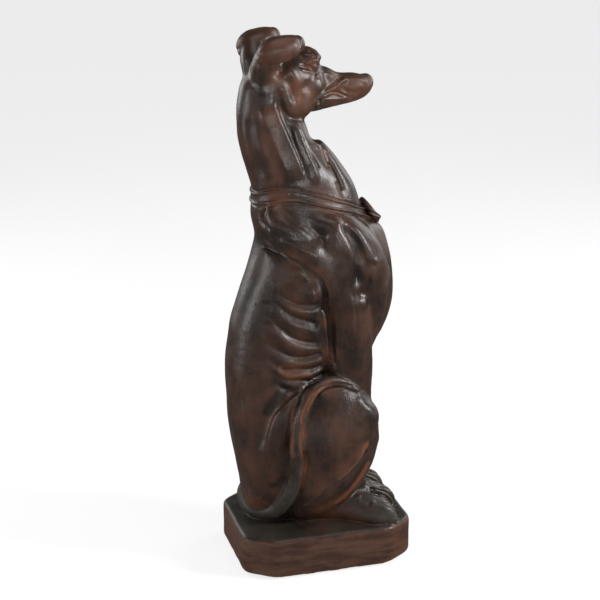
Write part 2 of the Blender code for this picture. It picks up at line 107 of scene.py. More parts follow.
def limb(stations, level=False, square=2.0):
    # At u along the limb and v round it: middle(u) + front * deep(u) * cos(v) + side * across(u) * sin(v),
    # with cos and sin raised to 2 / square. Level sections lie flat; the others end in domes.
    rows = throughStations(stations, limbMesh["steps"])
    middle = rows[:, :3]
    across = np.maximum(rows[:, 3], 1.0)
    deep = np.maximum(rows[:, 4], 1.0)
    run = np.gradient(middle, axis=0)
    run /= np.linalg.norm(run, axis=1)[:, None]
    if level:
        side = np.tile([0.0, 1.0, 0.0], (len(rows), 1))
        front = np.tile([1.0, 0.0, 0.0], (len(rows), 1))
        dome = [0]
        reach = (0.0, 0.0)
    else:
        side = np.array([0.0, 1.0, 0.0]) - run * run[:, 1:2]
        side /= np.linalg.norm(side, axis=1)[:, None]
        front = np.cross(side, run)
        dome = np.radians(limbMesh["dome"])
        reach = (min(across[0], deep[0]), min(across[-1], deep[-1]))
    first, last = np.zeros(len(dome), int), np.full(len(dome), len(rows) - 1)
    order = np.concatenate([first, np.arange(len(rows)), last])
    size = np.concatenate([np.sin(dome), np.ones(len(rows)), np.sin(dome)[::-1]])
    shift = np.concatenate([-reach[0] * np.cos(dome), np.zeros(len(rows)), reach[1] * np.cos(dome)[::-1]])
    turn = np.linspace(0, 2 * math.pi, limbMesh["sides"], endpoint=False)
    cos = np.sign(np.cos(turn)) * np.abs(np.cos(turn)) ** (2 / square)
    sin = np.sign(np.sin(turn)) * np.abs(np.sin(turn)) ** (2 / square)
    centre = middle[order] + run[order] * shift[:, None]
    rings = (centre[:, None] + front[order][:, None] * (deep[order] * size)[:, None, None] * cos[:, None]
             + side[order][:, None] * (across[order] * size)[:, None, None] * sin[:, None])
    return rings.reshape(-1, 3), gridFaces(len(order), limbMesh["sides"])


eggMesh = {"rows": 26, "sides": 40}


def egg(middle, radii, pitch=0.0):
    # middle + radii * (cos(a) cos(b), cos(a) sin(b), sin(a)), tipped nose-up by pitch degrees
    a = np.linspace(-math.pi / 2, math.pi / 2, eggMesh["rows"])[:, None]
    b = np.linspace(0, 2 * math.pi, eggMesh["sides"], endpoint=False)[None]
    ahead, right = radii[0] * np.cos(a) * np.cos(b), radii[1] * np.cos(a) * np.sin(b)
    up = radii[2] * np.sin(a) * np.ones_like(b)
    tip = math.radians(pitch)
    points = np.stack([ahead * math.cos(tip) - up * math.sin(tip), right,
                       ahead * math.sin(tip) + up * math.cos(tip)], axis=-1)
    return points.reshape(-1, 3) + np.array(middle, float), gridFaces(eggMesh["rows"], eggMesh["sides"])


discMesh = {"rimRows": 9, "sides": 48}


def disc(middle, radius, thick, lean, rim):
    # a round plate: its profile runs up the rounded rim and is turned about an axis that leans ahead
    a = np.linspace(-math.pi / 2, math.pi / 2, discMesh["rimRows"])
    out = np.concatenate([[0.0, radius - rim], radius - rim + rim * np.cos(a), [radius - rim, 0.0]])
    high = np.concatenate([[-thick, -thick], thick * np.sin(a), [thick, thick]])
    b = np.linspace(0, 2 * math.pi, discMesh["sides"], endpoint=False)
    flat = np.stack([out[:, None] * np.cos(b), out[:, None] * np.sin(b), high[:, None] + 0 * b], axis=-1)
    tip = math.radians(lean)
    points = np.stack([flat[..., 0] * math.cos(tip) + flat[..., 2] * math.sin(tip), flat[..., 1],
                       -flat[..., 0] * math.sin(tip) + flat[..., 2] * math.cos(tip)], axis=-1)
    return points.reshape(-1, 3) + np.array(middle, float), gridFaces(len(out), discMesh["sides"])


def bothSides(*shapes):
    # each shape and its mirror image on the dog's left
    return [pair for points, faces in shapes
            for pair in ((points, faces), (points * mirror, faces[:, ::-1]))]


headPose = {"turn": 10.0, "pivot": -84.0}


def turnHead(points, back=False):
    # the head's own frame swings about a plumb line to the dog's left; back undoes it
    turn = math.radians(headPose["turn"]) * (-1 if back else 1)
    ahead = points[..., 0] - headPose["pivot"]
    return np.stack([ahead * math.cos(turn) + points[..., 1] * math.sin(turn) + headPose["pivot"],
                     points[..., 1] * math.cos(turn) - ahead * math.sin(turn), points[..., 2]], axis=-1)


def onHead(shapes):
    return [(turnHead(points), faces) for points, faces in shapes]


# Trunk: up, back, front, half width
trunkShape = {
    "sections": [
        (-25, -138, 20, 36), (0, -146, 20, 44), (40, -155, 22, 62), (80, -162, 22, 76),
        (128, -170, 18, 84), (180, -179, 14, 86), (229, -185, 10, 84), (283, -187, 10, 82),
        (337, -189, 40, 81), (390, -183, 72, 83), (431, -176, 92, 86), (492, -156, 98, 88),
        (532, -142, 96, 88), (572, -130, 90, 86), (602, -125, 84, 83), (644, -133, 74, 76),
        (690, -131, 58, 65), (720, -135, 40, 50)],
    "squareness": 2.2,
    "web": [(20, 0, -25, 40, 60), (20, 0, 150, 44, 62), (20, 0, 300, 50, 66), (20, 0, 420, 50, 70)],
    "webSquareness": 2.6,
}


def trunk():
    body = limb([((back + front) / 2, 0, up, wide, (front - back) / 2)
                 for up, back, front, wide in trunkShape["sections"]], True, trunkShape["squareness"])
    return [body, limb(trunkShape["web"], True, trunkShape["webSquareness"])]


breastShape = {
    "keel": [(70, 0, 330, 12, 16), (92, 0, 362, 26, 30), (104, 0, 400, 34, 40), (110, 0, 450, 42, 48),
             (111, 0, 500, 44, 47), (105, 0, 550, 44, 46), (88, 0, 600, 44, 47), (70, 0, 622, 44, 41),
             (52, 0, 650, 44, 38), (30, 0, 700, 44, 41), (2, 0, 748, 36, 38), (-24, 0, 786, 30, 32)],
    "muscle": [(10, 46, 640, 26, 30), (56, 52, 600, 30, 34), (88, 52, 545, 34, 38), (94, 46, 480, 34, 40),
               (86, 42, 415, 28, 36), (70, 42, 360, 22, 30)],
}


def breast():
    return [limb(breastShape["keel"], True)] + bothSides(limb(breastShape["muscle"]))


neckShape = [(-32, 0, 640, 68, 98), (-30, 0, 690, 64, 100), (-50, 0, 735, 58, 92), (-79, 0, 780, 54, 76),
             (-93, 0, 822, 51, 67), (-97, 0, 865, 49, 62), (-92, 0, 905, 46, 58), (-84, 0, 930, 36, 46)]

shoulderShape = {
    "blade": [(-100, 48, 662, 18, 24), (-86, 58, 626, 27, 30), (-60, 67, 602, 33, 33),
              (-33, 74, 578, 33, 33), (-10, 78, 545, 31, 31), (4, 78, 500, 28, 29)],
    "point": [(-40, 54, 650, 20, 20), (0, 66, 626, 25, 24), (34, 73, 586, 28, 26), (50, 70, 530, 27, 28),
              (50, 65, 460, 26, 32)],
    "arm": [(6, 74, 592, 28, 30), (12, 78, 545, 28, 32), (14, 77, 490, 25, 30)],
}


def shoulder():
    return bothSides(*[limb(shoulderShape[part]) for part in shoulderShape])


pawPlace = {"right": 32, "left": -50, "toesAhead": 105, "hindAhead": 94, "hindOut": 78, "hindSplay": 14}


# Foreleg: ahead, right, up, half across, half deep; the ankle and the foot stand over the paw's own place
forelegShape = {
    "leg": [(40, 70, 480, 28, 42), (48, 66, 420, 29, 45), (54, 60, 330, 27, 46), (56, 52, 240, 25, 43),
            (55, 46, 120, 24, 37)],
    "ankle": [(63, 48, 26, 36), (67, 6, 28, 40)],
    "foot": [(70, 24, 28, 42), (98, 24, 31, 35), (120, 18, 33, 29), (134, 10, 31, 22)],
}


def foreleg(side, paw):
    leg = [(ahead, side * right, up, wide, deep) for ahead, right, up, wide, deep in forelegShape["leg"]]
    ankle, foot = [[(ahead, paw, up, wide, deep) for ahead, up, wide, deep in forelegShape[part]]
                   for part in ("ankle", "foot")]
    return [limb(leg + ankle), limb(foot)]


# Toes: each toe's place across the foot and how much shorter it is; then step, up, half across, half deep,
# where all steps but the first count back from the foot's reach, and the claw's count from the toe's tip
toeShape = {
    "front": {"toes": ((-24, 9), (-8.2, 0), (8.2, 0), (24, 9)), "reach": 51,
              "stations": [(0, 27, 10, 26), (20, 20, 10.5, 22), (5, 5, 8.5, 15)]},
    "hind": {"toes": ((-24, 11), (-8.2, 4), (8.2, 0), (24, 0)), "reach": 48,
             "stations": [(0, 18, 10, 28), (20, 13, 10.5, 23), (5, 1, 8.5, 15)]},
    "claw": [(-3, 9, 3.6, 4.0), (4, 4, 2.52, 2.8)],
}


def onFoot(root, heading, step, offset):
    # ahead and right of the place that lies step along a foot and offset across it
    cos, sin = math.cos(math.radians(heading)), math.sin(math.radians(heading))
    return root[0] + step * cos - offset * sin, root[1] + step * sin + offset * cos


def toes(foot, root, heading):
    # four toes side by side, each with a short claw
    shapes = []
    for offset, shorter in foot["toes"]:
        toe = [(step if step == 0 else foot["reach"] - shorter - step, up, wide, deep)
               for step, up, wide, deep in foot["stations"]]
        tip = toe[-1][0] + toe[-1][2]
        claw = [(tip + step, up, wide, deep) for step, up, wide, deep in toeShape["claw"]]
        for rows in (toe, claw):
            shapes.append(limb([(*onFoot(root, heading, step, offset), up, wide, deep)
                                for step, up, wide, deep in rows]))
    return shapes


def frontToes(paw):
    return toes(toeShape["front"], (pawPlace["toesAhead"], paw), 0)


def hindToes():
    root = (pawPlace["hindAhead"], pawPlace["hindOut"])
    return bothSides(*toes(toeShape["hind"], root, pawPlace["hindSplay"]))


haunchShape = {
    "thigh": [(-34, 40, -6, 14, 30), (-20, 48, 24, 30, 52), (-4, 56, 70, 46, 78), (4, 64, 130, 57, 98),
              (7, 67, 190, 58, 104), (8, 66, 240, 52, 96), (8, 62, 278, 40, 74), (8, 58, 302, 24, 44),
              (8, 56, 313, 8, 16)],
    "shin": [(84, 76, 180, 28, 27), (61, 76, 132, 30, 31), (33, 68, 90, 30, 33), (0, 54, 52, 27, 32),
             (-40, 36, 26, 22, 26)],
    "ham": [(-56, 78, 296, 12, 14), (-84, 82, 268, 18, 22), (-100, 80, 228, 23, 28),
            (-106, 74, 175, 24, 32), (-100, 60, 118, 24, 34), (-86, 44, 66, 20, 30)],
    "foot": [(-80, 18, 16, 24, 36), (-36, 30, 12, 26, 34), (20, 46, 12, 26, 36), (66, 66, 17, 30, 37),
             (96, 80, 13, 37, 33), (114, 85, 6, 37, 27)],
    "squareness": 2.15,
    "knee": ((78, 80, 226), (30, 30, 38)),
}


def haunch():
    return bothSides(limb(haunchShape["thigh"], True, haunchShape["squareness"]), egg(*haunchShape["knee"]),
                     limb(haunchShape["shin"]), limb(haunchShape["ham"]))


# Tail: ahead, right, up, radius, from the rump over the plinth and up the right haunch
tailRoute = [(-126, -30, 66, 18), (-145, -28, 42, 17.5), (-145, -8, 25, 17), (-134, 12, 20, 17),
             (-120, 28, 20, 17), (-99, 52, 32, 16.5), (-86, 72, 60, 16), (-74, 92, 100, 15.5),
             (-69, 102, 141, 15), (-70, 108, 201, 14.5), (-66, 107, 241, 13.5), (-53, 102, 275, 12.5),
             (-28, 93, 304, 11), (8, 85, 314, 10), (37, 83, 305, 8), (60, 82, 290, 6)]


def tail():
    return [limb([(a, r, u, size, size) for a, r, u, size in tailRoute])]


# Head, before it is turned: limbs, and eggs of middle, radii and tip in degrees
headShape = {
    "muzzle": [(-34, 0, 884, 36, 46), (7, 0, 883, 33, 45), (45, 0, 878, 26, 34), (87, 0, 879, 23, 28.5),
               (104, 0, 883, 20, 24), (113, 0, 888, 15, 18)],
    "earRoot": [(-113, 14, 918, 26, 29), (-115, 26, 946, 24, 27), (-112, 37, 968, 21, 23),
                (-106, 44, 983, 15, 15)],
    "earFlap": [(-131, 41, 957, 12, 10), (-124, 44, 965, 21, 19), (-110, 46, 971, 25, 23.5),
                (-95, 48, 973, 27, 24.5), (-83, 50, 976, 25, 23), (-71, 52, 979, 21, 20),
                (-62, 53, 981, 14, 17)],
    "flapSquareness": 2.3,
    "skull": ((-66, 0, 914), (72, 46, 47)), "forehead": ((-24, 0, 932), (34, 35, 36)),
    "jaw": ((-46, 25, 868), (32, 21, 38)), "cheek": ((-20, 24, 893), (36, 17, 30)),
    "lip": ((86, 12, 883), (34, 13, 18), -2),
    "lid": ((-23, 29, 936), (17, 10, 13)), "brow": ((-20, 21, 949), (22, 15, 10), -10),
}


def head():
    shapes = [egg(*headShape["skull"]), egg(*headShape["forehead"]), limb(headShape["muzzle"])]
    return onHead(shapes + bothSides(*[egg(*headShape[part]) for part in ("jaw", "cheek", "lip")],
                                     limb(headShape["earRoot"])))


def eyes():
    # a heavy upper lid over the eyeball, and the brow above it
    return onHead(bothSides(egg(*headShape["lid"]), egg(*headShape["brow"])))


def ears():
    return onHead(bothSides(limb(headShape["earFlap"], False, headShape["flapSquareness"])))


tagShape = {"middle": (108, 0, 638), "radius": 29, "thick": 5, "lean": 54, "rim": 2.5}


def tag():
    return [disc(**tagShape)]


# In metres: how much each corner is cut off along and across, and how its edges are rounded
plinthShape = {"cutAlong": 0.040, "cutAcross": 0.028, "topRound": 0.0075, "footRound": 0.011, "sides": 480,
               "softRounds": 40, "roundSteps": 7}


def plinth():
    # The outline is a rectangle with cut corners, sampled evenly; the profile runs up it with a rounded
    # foot and top edge. Returned in figure units like the rest.
    halfX, halfY = (cadHigh.x - cadLow.x) / 2, -cadLow.y
    end, side = halfX - plinthShape["cutAcross"], halfY - plinthShape["cutAlong"]
    corners = np.array([(halfX, side), (end, halfY), (-end, halfY), (-halfX, side),
                        (-halfX, -side), (-end, -halfY), (end, -halfY), (halfX, -side)])
    lengths = np.linalg.norm(np.roll(corners, -1, axis=0) - corners, axis=1)
    along = np.concatenate([[0], np.cumsum(lengths)])
    t = np.linspace(0, along[-1], plinthShape["sides"], endpoint=False)
    loop = np.vstack([corners, corners[:1]])
    outline = np.stack([np.interp(t, along, loop[:, i]) for i in range(2)], axis=1)
    for n in range(plinthShape["softRounds"]):
        outline = (np.roll(outline, 1, axis=0) + 2 * outline + np.roll(outline, -1, axis=0)) / 4
    a = np.linspace(0, math.pi / 2, plinthShape["roundSteps"])
    foot, top = plinthShape["footRound"], plinthShape["topRound"]
    inset = np.concatenate([[0], foot * (1 - np.sin(a)), top * (1 - np.cos(a)), [0]])
    high = np.concatenate([[0], foot * (1 - np.cos(a)), plinthHeight - top * (1 - np.sin(a)),
                           [plinthHeight]])
    shrink = 1 - inset[:, None, None] / np.array([halfX, halfY])
    shrink[[0, -1]] = 0  # both faces close in their middle
    rings = outline * shrink
    points = np.concatenate([rings, np.broadcast_to(high[:, None, None], (len(high), len(t), 1))], axis=-1)
    return [(toFigure(points.reshape(-1, 3)), gridFaces(len(high), len(t)))]


statue = bpy.data.objects.new("greyhound_casting", bpy.data.meshes.new("greyhound_casting"))
bpy.context.scene.collection.objects.link(statue)


def addShapes(thing, shapes):
    # the new shapes still pass through the mesh that is there
    whole = bmesh.new()
    whole.from_mesh(thing.data)
    start = 0
    points, faces = [], []
    for shapePoints, shapeFaces in shapes:
        points.append(toMetres(shapePoints))
        faces.append(shapeFaces + start)
        start += len(shapePoints)
    extra = bpy.data.meshes.new("extra")
    extra.from_pydata(np.vstack(points), [], np.vstack(faces).tolist())
    whole.from_mesh(extra)
    bpy.data.meshes.remove(extra)
    whole.to_mesh(thing.data)
    whole.free()


def settle(thing):
    # the modifiers' result becomes the mesh
    graph = bpy.context.evaluated_depsgraph_get()
    fresh = bpy.data.meshes.new_from_object(thing.evaluated_get(graph))
    old = thing.data
    thing.modifiers.clear()
    thing.data = fresh
    bpy.data.meshes.remove(old)


def fuse(thing, shapes, grain, rounds):
    # one skin over everything, its inner corners softened in some rounds
    addShapes(thing, shapes)
    skin = thing.modifiers.new("fuse", "REMESH")
    skin.mode = "VOXEL"
    skin.voxel_size = grain
    soften = thing.modifiers.new("soften", "SMOOTH")
    soften.factor = 0.5
    soften.iterations = rounds
    settle(thing)


def readRows(collection, name):
    # one row of three numbers for each vertex
    flat = np.empty(len(collection) * 3)
    collection.foreach_get(name, flat)
    return flat.reshape(-1, 3)


def readSkin(thing):
    # points and outward normals, both along ahead, right, up
    points = toFigure(readRows(thing.data.vertices, "co"))
    return points, toFigureWay(readRows(thing.data.vertex_normals, "vector"))


def writeSkin(thing, points):
    thing.data.vertices.foreach_set("co", toMetres(points).ravel())
    thing.data.update()


def onSides(places, sides=(1, -1), headTurned=False):
    # the places by side: as they are on the dog's right (1) and mirrored on its left (-1), where those on
    # the head are mirrored in the head's own frame
    right = np.array(places, float)
    left = turnHead(turnHead(right, True) * mirror) if headTurned else right * mirror
    return {side: right if side > 0 else left for side in sides}


lineSteps = 5  # between two places on a line


def skinTree(thing):
    return BVHTree.FromObject(thing, bpy.context.evaluated_depsgraph_get())


def layOn(tree, line):
    # a line runs through its places on a curve and comes to rest on the skin, with the skin's facing there
    found = [tree.find_nearest(Vector(place)) for place in toMetres(throughStations(line, lineSteps))]
    facings = toFigureWay(np.array([hit[1] for hit in found]))
    return toFigure(np.array([hit[0] for hit in found])), facings


def besideLine(points, line, reach):
    # the numbers of the points within the line's own box, widened by reach
    return np.flatnonzero(np.all((points > line.min(0) - reach) & (points < line.max(0) + reach), axis=1))


def alongLine(points, normals, line, facings):
    # how far each point is from the line, where along it, on which hand, whether it faces the same way,
    # and how high it lies over the flat strip along the line
    gap = np.full(len(points), np.inf)
    along, hand, same, over = [np.zeros(len(points)) for n in range(4)]
    lengths = np.maximum(np.linalg.norm(np.diff(line, axis=0), axis=1), 1e-6)
    start = 0.0
    for a, b, length, facing in zip(line[:-1], line[1:], lengths, facings):
        step = (b - a) / length
        t = np.clip((points - a) @ step, 0, length)
        off = points - a - t[:, None] * step
        reach = np.linalg.norm(off, axis=1)
        closer = reach < gap
        gap[closer] = reach[closer]
        along[closer] = (start + t[closer]) / lengths.sum()
        hand[closer] = np.einsum("ij,ij->i", off[closer], np.cross(normals[closer], step))
        same[closer] = normals[closer] @ facing
        over[closer] = off[closer] @ facing
        start += length
    return gap, along, hand, same, over


strokeShape = {"reach": 2.4, "facing": (-0.1, 0.5), "edge": 0.35}


def carve(thing, strokes, headTurned=False, fades=(0.2, 0.2), sides=(1, -1)):
    # A stroke is (half width, rise, fall, line), laid on the sides that are named. Its height is a bell
    # across the line: rise on it or, with a fall, +rise on the left hand and -fall on the right, met by a
    # short step.
    points, normals = readSkin(thing)
    tree = skinTree(thing)
    shift = np.zeros(len(points))
    for wide, rise, fall, places in strokes.values():
        for side, rows in onSides(places, sides, headTurned).items():
            line, facings = layOn(tree, rows)
            near = besideLine(points, line, strokeShape["reach"] * wide)
            gap, along, hand, same, over = alongLine(points[near], normals[near], line, facings)
            bell = np.exp(-(gap / wide) ** 2) * smoothStep(*strokeShape["facing"], same)
            bell *= smoothStep(0, fades[0], along) * smoothStep(0, fades[1], 1 - along)
            if fall:
                edge = strokeShape["edge"] * wide
                high = smoothStep(-edge, edge, -hand * side)
                shift[near] += bell * (rise * high - fall * (1 - high))
            else:
                shift[near] += bell * rise
    writeSkin(thing, points + normals * shift[:, None])


stripShape = {"rounds": 6, "edge": (1.5, 0.8), "facing": (0.2, 0.7), "fade": 0.12}


def flatten(thing, strips):
    # A strip is (half width, how far, line): what lies beside the line comes that far towards the flat
    # strip that faces as the skin does on the line
    points, normals = readSkin(thing)
    tree = skinTree(thing)
    shift = np.zeros(len(points))
    for wide, far, places in strips.values():
        for rows in onSides(places).values():
            line, facings = layOn(tree, rows)
            for n in range(stripShape["rounds"]):
                padded = np.vstack([facings[:1], facings, facings[-1:]])
                facings = (padded[:-2] + 2 * facings + padded[2:]) / 4
            facings /= np.linalg.norm(facings, axis=1)[:, None]
            gap, along, hand, same, over = alongLine(points, normals, line, facings)
            bell = smoothStep(*stripShape["edge"], gap / wide) * smoothStep(*stripShape["facing"], same)
            fade = stripShape["fade"]
            shift -= far * over * bell * smoothStep(0, fade, along) * smoothStep(0, fade, 1 - along)
    writeSkin(thing, points + normals * shift[:, None])


def press(thing, marks, headTurned=False):
    # A mark is (place, reach ahead, to the side and up, rise): a swelling, or a dent when rise is negative
    points, normals = readSkin(thing)
    tree = skinTree(thing)
    shift = np.zeros(len(points))
    for place, reach, rise in marks.values():
        for rows in onSides([place, place], (1, -1), headTurned).values():
            spot = layOn(tree, rows)[0][0]
            shift += rise * np.exp(-np.sum(((points - spot) / np.array(reach)) ** 2, axis=1))
    writeSkin(thing, points + normals * shift[:, None])


# Strokes on the dog's right side: half width, rise, fall, and the places (ahead, right, up) on the line
ribCreases = [
    [(-108, 74, 510), (-98, 80, 500), (-82, 86, 488), (-57, 91, 477), (-37, 92, 475), (-19, 87, 478)],
    [(-118, 70, 496), (-106, 77, 484), (-91, 83, 470), (-79, 84, 460), (-60, 88, 449), (-40, 89, 442),
     (-21, 88, 433)],
    [(-128, 68, 470), (-117, 76, 454), (-104, 82, 438), (-91, 85, 427), (-78, 88, 414), (-60, 88, 404),
     (-39, 87, 397), (-15, 80, 393)],
    [(-131, 68, 412), (-117, 73, 398), (-98, 80, 384), (-79, 83, 373), (-59, 85, 367), (-34, 84, 366),
     (-11, 76, 370)],
    [(-125, 74, 380), (-114, 79, 367), (-99, 82, 351), (-83, 84, 342), (-59, 85, 342), (-33, 79, 339),
     (-7, 69, 343)],
    [(-116, 77, 345), (-99, 83, 331), (-79, 83, 322), (-57, 79, 318), (-30, 70, 316), (-3, 64, 326)],
    [(-114, 78, 328), (-100, 77, 314), (-85, 77, 304), (-71, 84, 300), (-58, 88, 307)],
]
ribShape = {"crease": (6.5, -6.5), "crest": (10.0, 3.2), "crestPlaces": 6, "crestDown": 0.42}


def evenly(line, count):
    # the same line through a given number of places
    rows = np.array(line, float)
    at = np.linspace(0, len(rows) - 1, count)
    return np.stack([np.interp(at, np.arange(len(rows)), rows[:, k]) for k in range(3)], axis=1)


def ribStrokes():
    # a crease between neighbouring ribs, and each rib's crest a little above the middle between two creases
    strokes = {("crease", n): (*ribShape["crease"], 0, line) for n, line in enumerate(ribCreases)}
    for n, (upper, lower) in enumerate(zip(ribCreases, ribCreases[1:])):
        down, places = ribShape["crestDown"], ribShape["crestPlaces"]
        crest = evenly(upper, places) * (1 - down) + evenly(lower, places) * down
        strokes["crest", n] = (*ribShape["crest"], 0, [tuple(place) for place in crest])
    return strokes


bladeRim = [(-119, 26, 589), (-111, 42, 587), (-101, 58, 582), (-90, 69, 579), (-79, 86, 577),
            (-62, 95, 566), (-44, 102, 554), (-29, 106, 540), (-19, 106, 523), (-11, 101, 504),
            (-6, 83, 474)]
armCrease = [(-16, 105, 517), (-11, 94, 494), (-7, 82, 473), (0, 78, 451), (7, 77, 418), (10, 73, 385),
             (13, 73, 353), (18, 78, 329)]
crestGroove = [(12, 93, 634), (29, 84, 623), (42, 84, 608), (49, 88, 591), (53, 89, 571), (54, 93, 548),
               (56, 92, 527), (61, 85, 505)]
tailGroove = [(22, 92, 311), (-5, 97, 309), (-30, 104, 302), (-48, 111, 285), (-60, 117, 261),
              (-65, 121, 227), (-63, 120, 192), (-54, 112, 162), (-55, 108, 127), (-61, 99, 91),
              (-68, 79, 56)]
bodyStrokes = {
    "rim of the blade over the ribs": (12, 1.0, 4.0, bladeRim),
    "lip of the ribs": (10, 3.5, 0, [
        (-75, 84, 562), (-59, 91, 548), (-43, 94, 531), (-31, 100, 512), (-24, 91, 494)]),
    "crease before the ribs": (7, -9.5, 0, armCrease),
    "crease under the collar": (8, -5.5, 0, [
        (-113, 53, 670), (-121, 43, 658), (-122, 38, 645), (-119, 49, 633), (-113, 65, 626)]),
    "hollow under the lobe": (15, -3.6, 0, [
        (-119, 49, 633), (-110, 66, 622), (-92, 80, 616), (-70, 88, 611), (-40, 90, 606), (-14, 88, 606)]),
    "first crest": (15, 8.0, 0, [
        (-20, 75, 657), (0, 87, 646), (23, 86, 637), (45, 83, 621), (61, 86, 604), (72, 89, 587),
        (79, 90, 568), (81, 88, 548), (81, 88, 518), (80, 85, 490)]),
    "second crest": (17, 7.0, 0, [
        (-12, 90, 628), (0, 94, 626), (11, 100, 616), (21, 104, 602), (28, 107, 587), (32, 107, 570),
        (36, 102, 545), (38, 98, 510)]),
    "groove between the crests": (9.5, -13.0, 0, crestGroove),
    "strap before the arm": (9, 3.0, 0, [
        (99, 79, 572), (100, 85, 557), (92, 89, 535), (87, 87, 508), (83, 83, 482)]),
    "hollow behind the strap": (8, -3.5, 0, [(89, 86, 559), (84, 89, 535), (77, 86, 506)]),
    "edge of the breast": (10, 4.0, 0, [
        (65, 55, 637), (88, 48, 621), (108, 46, 601), (124, 42, 574), (133, 41, 545), (133, 54, 522),
        (123, 70, 499), (110, 76, 468), (98, 74, 434)]),
    "muscle of the flank": (12, 2.0, 0, [(-114, 65, 513), (-87, 78, 520), (-59, 85, 528)]),
    "dark of the flank": (9, -2.5, 0, [(-122, 64, 489), (-122, 73, 461), (-124, 70, 439)]),
    "strip of the neck": (16, 5.0, 0, [
        (-111, 50, 876), (-105, 53, 841), (-92, 56, 810), (-79, 58, 779), (-66, 60, 747), (-56, 62, 715)]),
    "groove before the strip": (9, -7.0, 0, [
        (-95, 48, 881), (-86, 49, 854), (-74, 43, 829), (-64, 46, 806), (-53, 50, 779), (-42, 54, 748),
        (-33, 58, 721)]),
    "second strip": (9, 5.5, 0, [
        (-60, 42, 838), (-53, 45, 821), (-47, 50, 794), (-38, 55, 764), (-26, 60, 733), (-12, 63, 706)]),
    "fold of the throat": (8, -4.0, 0, [
        (-24, 8, 818), (-8, 12, 786), (4, 22, 763), (17, 33, 740), (32, 41, 708), (46, 50, 674)]),
    "groove of the nape": (10, -3.5, 0, [
        (-144, 30, 850), (-142, 33, 818), (-139, 34, 790), (-129, 34, 753), (-116, 36, 716)]),
    "faint cord of the nape": (9, 2.0, 0, [(-129, 40, 800), (-113, 43, 759), (-102, 46, 724)]),
    "edge of the ham": (18, 2.5, 7.0, [
        (-56, 92, 302), (-78, 90, 288), (-98, 91, 270), (-111, 87, 250), (-121, 88, 227), (-128, 87, 200),
        (-132, 86, 170)]),
    "point of the rump": (11, 3.5, 0, [(-126, 54, 57), (-141, 46, 66), (-153, 35, 78)]),
    "fold over the shin": (12, 5.0, 11.0, [
        (-56, 80, 36), (-36, 94, 58), (-13, 107, 86), (6, 113, 102), (26, 116, 118), (49, 117, 140),
        (69, 114, 165), (80, 110, 184)]),
    "fold under the shin": (8, -6.0, 0, [
        (84, 106, 152), (78, 105, 138), (58, 104, 104), (36, 100, 81), (17, 94, 58), (-13, 87, 41),
        (-36, 79, 29)]),
    "edge of the knee": (14, 2.5, 0, [(50, 116, 222), (70, 108, 256), (62, 92, 286)]),
}
bodyMarks = {
    "lobe of the blade": ((-80, 81, 648), (34, 20, 17), 4.0),
    "pit of the elbow": ((64, 85, 494), (8, 12, 11), -6.5),
    "elbow": ((50, 96, 473), (9, 10, 11), 3.0),
    "knob by the pit": ((71, 89, 473), (8, 10, 10), 3.5),
    "end of the muscle": ((38, 95, 497), (13, 12, 14), 1.5),
    "bulge of the ribs": ((-36, 92, 503), (24, 22, 22), 15.0),
    "upper ribs": ((-66, 86, 540), (26, 20, 18), 5.0),
    "leaf of the ham": ((-92, 94, 236), (18, 16, 44), 6.0),
    "swell of the knee": ((76, 101, 253), (14, 12, 16), 2.5),
    "heel": ((-60, 70, 22), (11, 9, 12), 5.0),
    "knuckle of the paw": ((107, 49, 60), (16, 9, 9), 2.5),
}
bodyStrips = {
    "broad strip of the neck": (15, 0.9, [
        (-111, 50, 872), (-105, 53, 841), (-92, 56, 810), (-79, 58, 779), (-66, 60, 747), (-56, 62, 716)]),
    "narrow strip of the neck": (8, 0.9, [
        (-56, 43, 830), (-53, 45, 821), (-47, 50, 794), (-38, 55, 764), (-26, 60, 733), (-14, 63, 708)]),
    "band across the blade": (16, 0.5, [(-100, 73, 598), (-81, 92, 590), (-54, 102, 576), (-36, 106, 562)]),
}
bodyFine = {
    "slit of the throat": (3.4, -5.0, 0, [
        (14, 32, 748), (18, 34, 738), (26, 38, 722), (33, 42, 704), (38, 45, 690)]),
    "lip of the slit": (4.6, 2.2, 0, [(10, 34, 742), (17, 40, 726), (24, 45, 708)]),
    "cord in the crease": (3.0, 4.2, 0, [
        (-14, 83, 466), (-8, 86, 433), (-2, 81, 400), (4, 74, 365), (11, 72, 338)]),
    "line under the rim": (4.4, -5.5, 0, bladeRim),
    "line in the crease under the collar": (3.2, -2.4, 0, [
        (-113, 53, 670), (-121, 43, 658), (-122, 38, 645), (-119, 49, 633), (-112, 64, 627)]),
    "line of the fold": (3.4, -3.0, 0, [
        (78, 112, 176), (69, 114, 161), (49, 117, 136), (26, 116, 114), (6, 113, 98), (-13, 107, 82),
        (-36, 94, 54)]),
    "line in the throat": (3.6, -1.8, 0, [(-45, 36, 838), (-36, 40, 800), (-24, 46, 765), (-8, 52, 735)]),
    "line of the elbow": (3.4, -1.6, 0, [(46, 97, 500), (49, 94, 470), (52, 84, 440), (53, 78, 400)]),
    "rim of the haunch": (5.0, 2.6, 0, [
        (-24, 94, 286), (-6, 88, 295), (23, 88, 298), (50, 88, 293), (70, 86, 277)]),
    "line over the haunch": (3.4, -2.4, 0, [(-12, 97, 303), (10, 94, 308), (30, 91, 307), (52, 88, 298)]),
    "top of the foot": (7.0, 2.0, 0, [(33, 82, 46), (54, 79, 49), (74, 82, 50)]),
    "point under the rump": (3.4, -2.0, 0, [(-110, 66, 44), (-131, 54, 52), (-148, 42, 62)]),
}

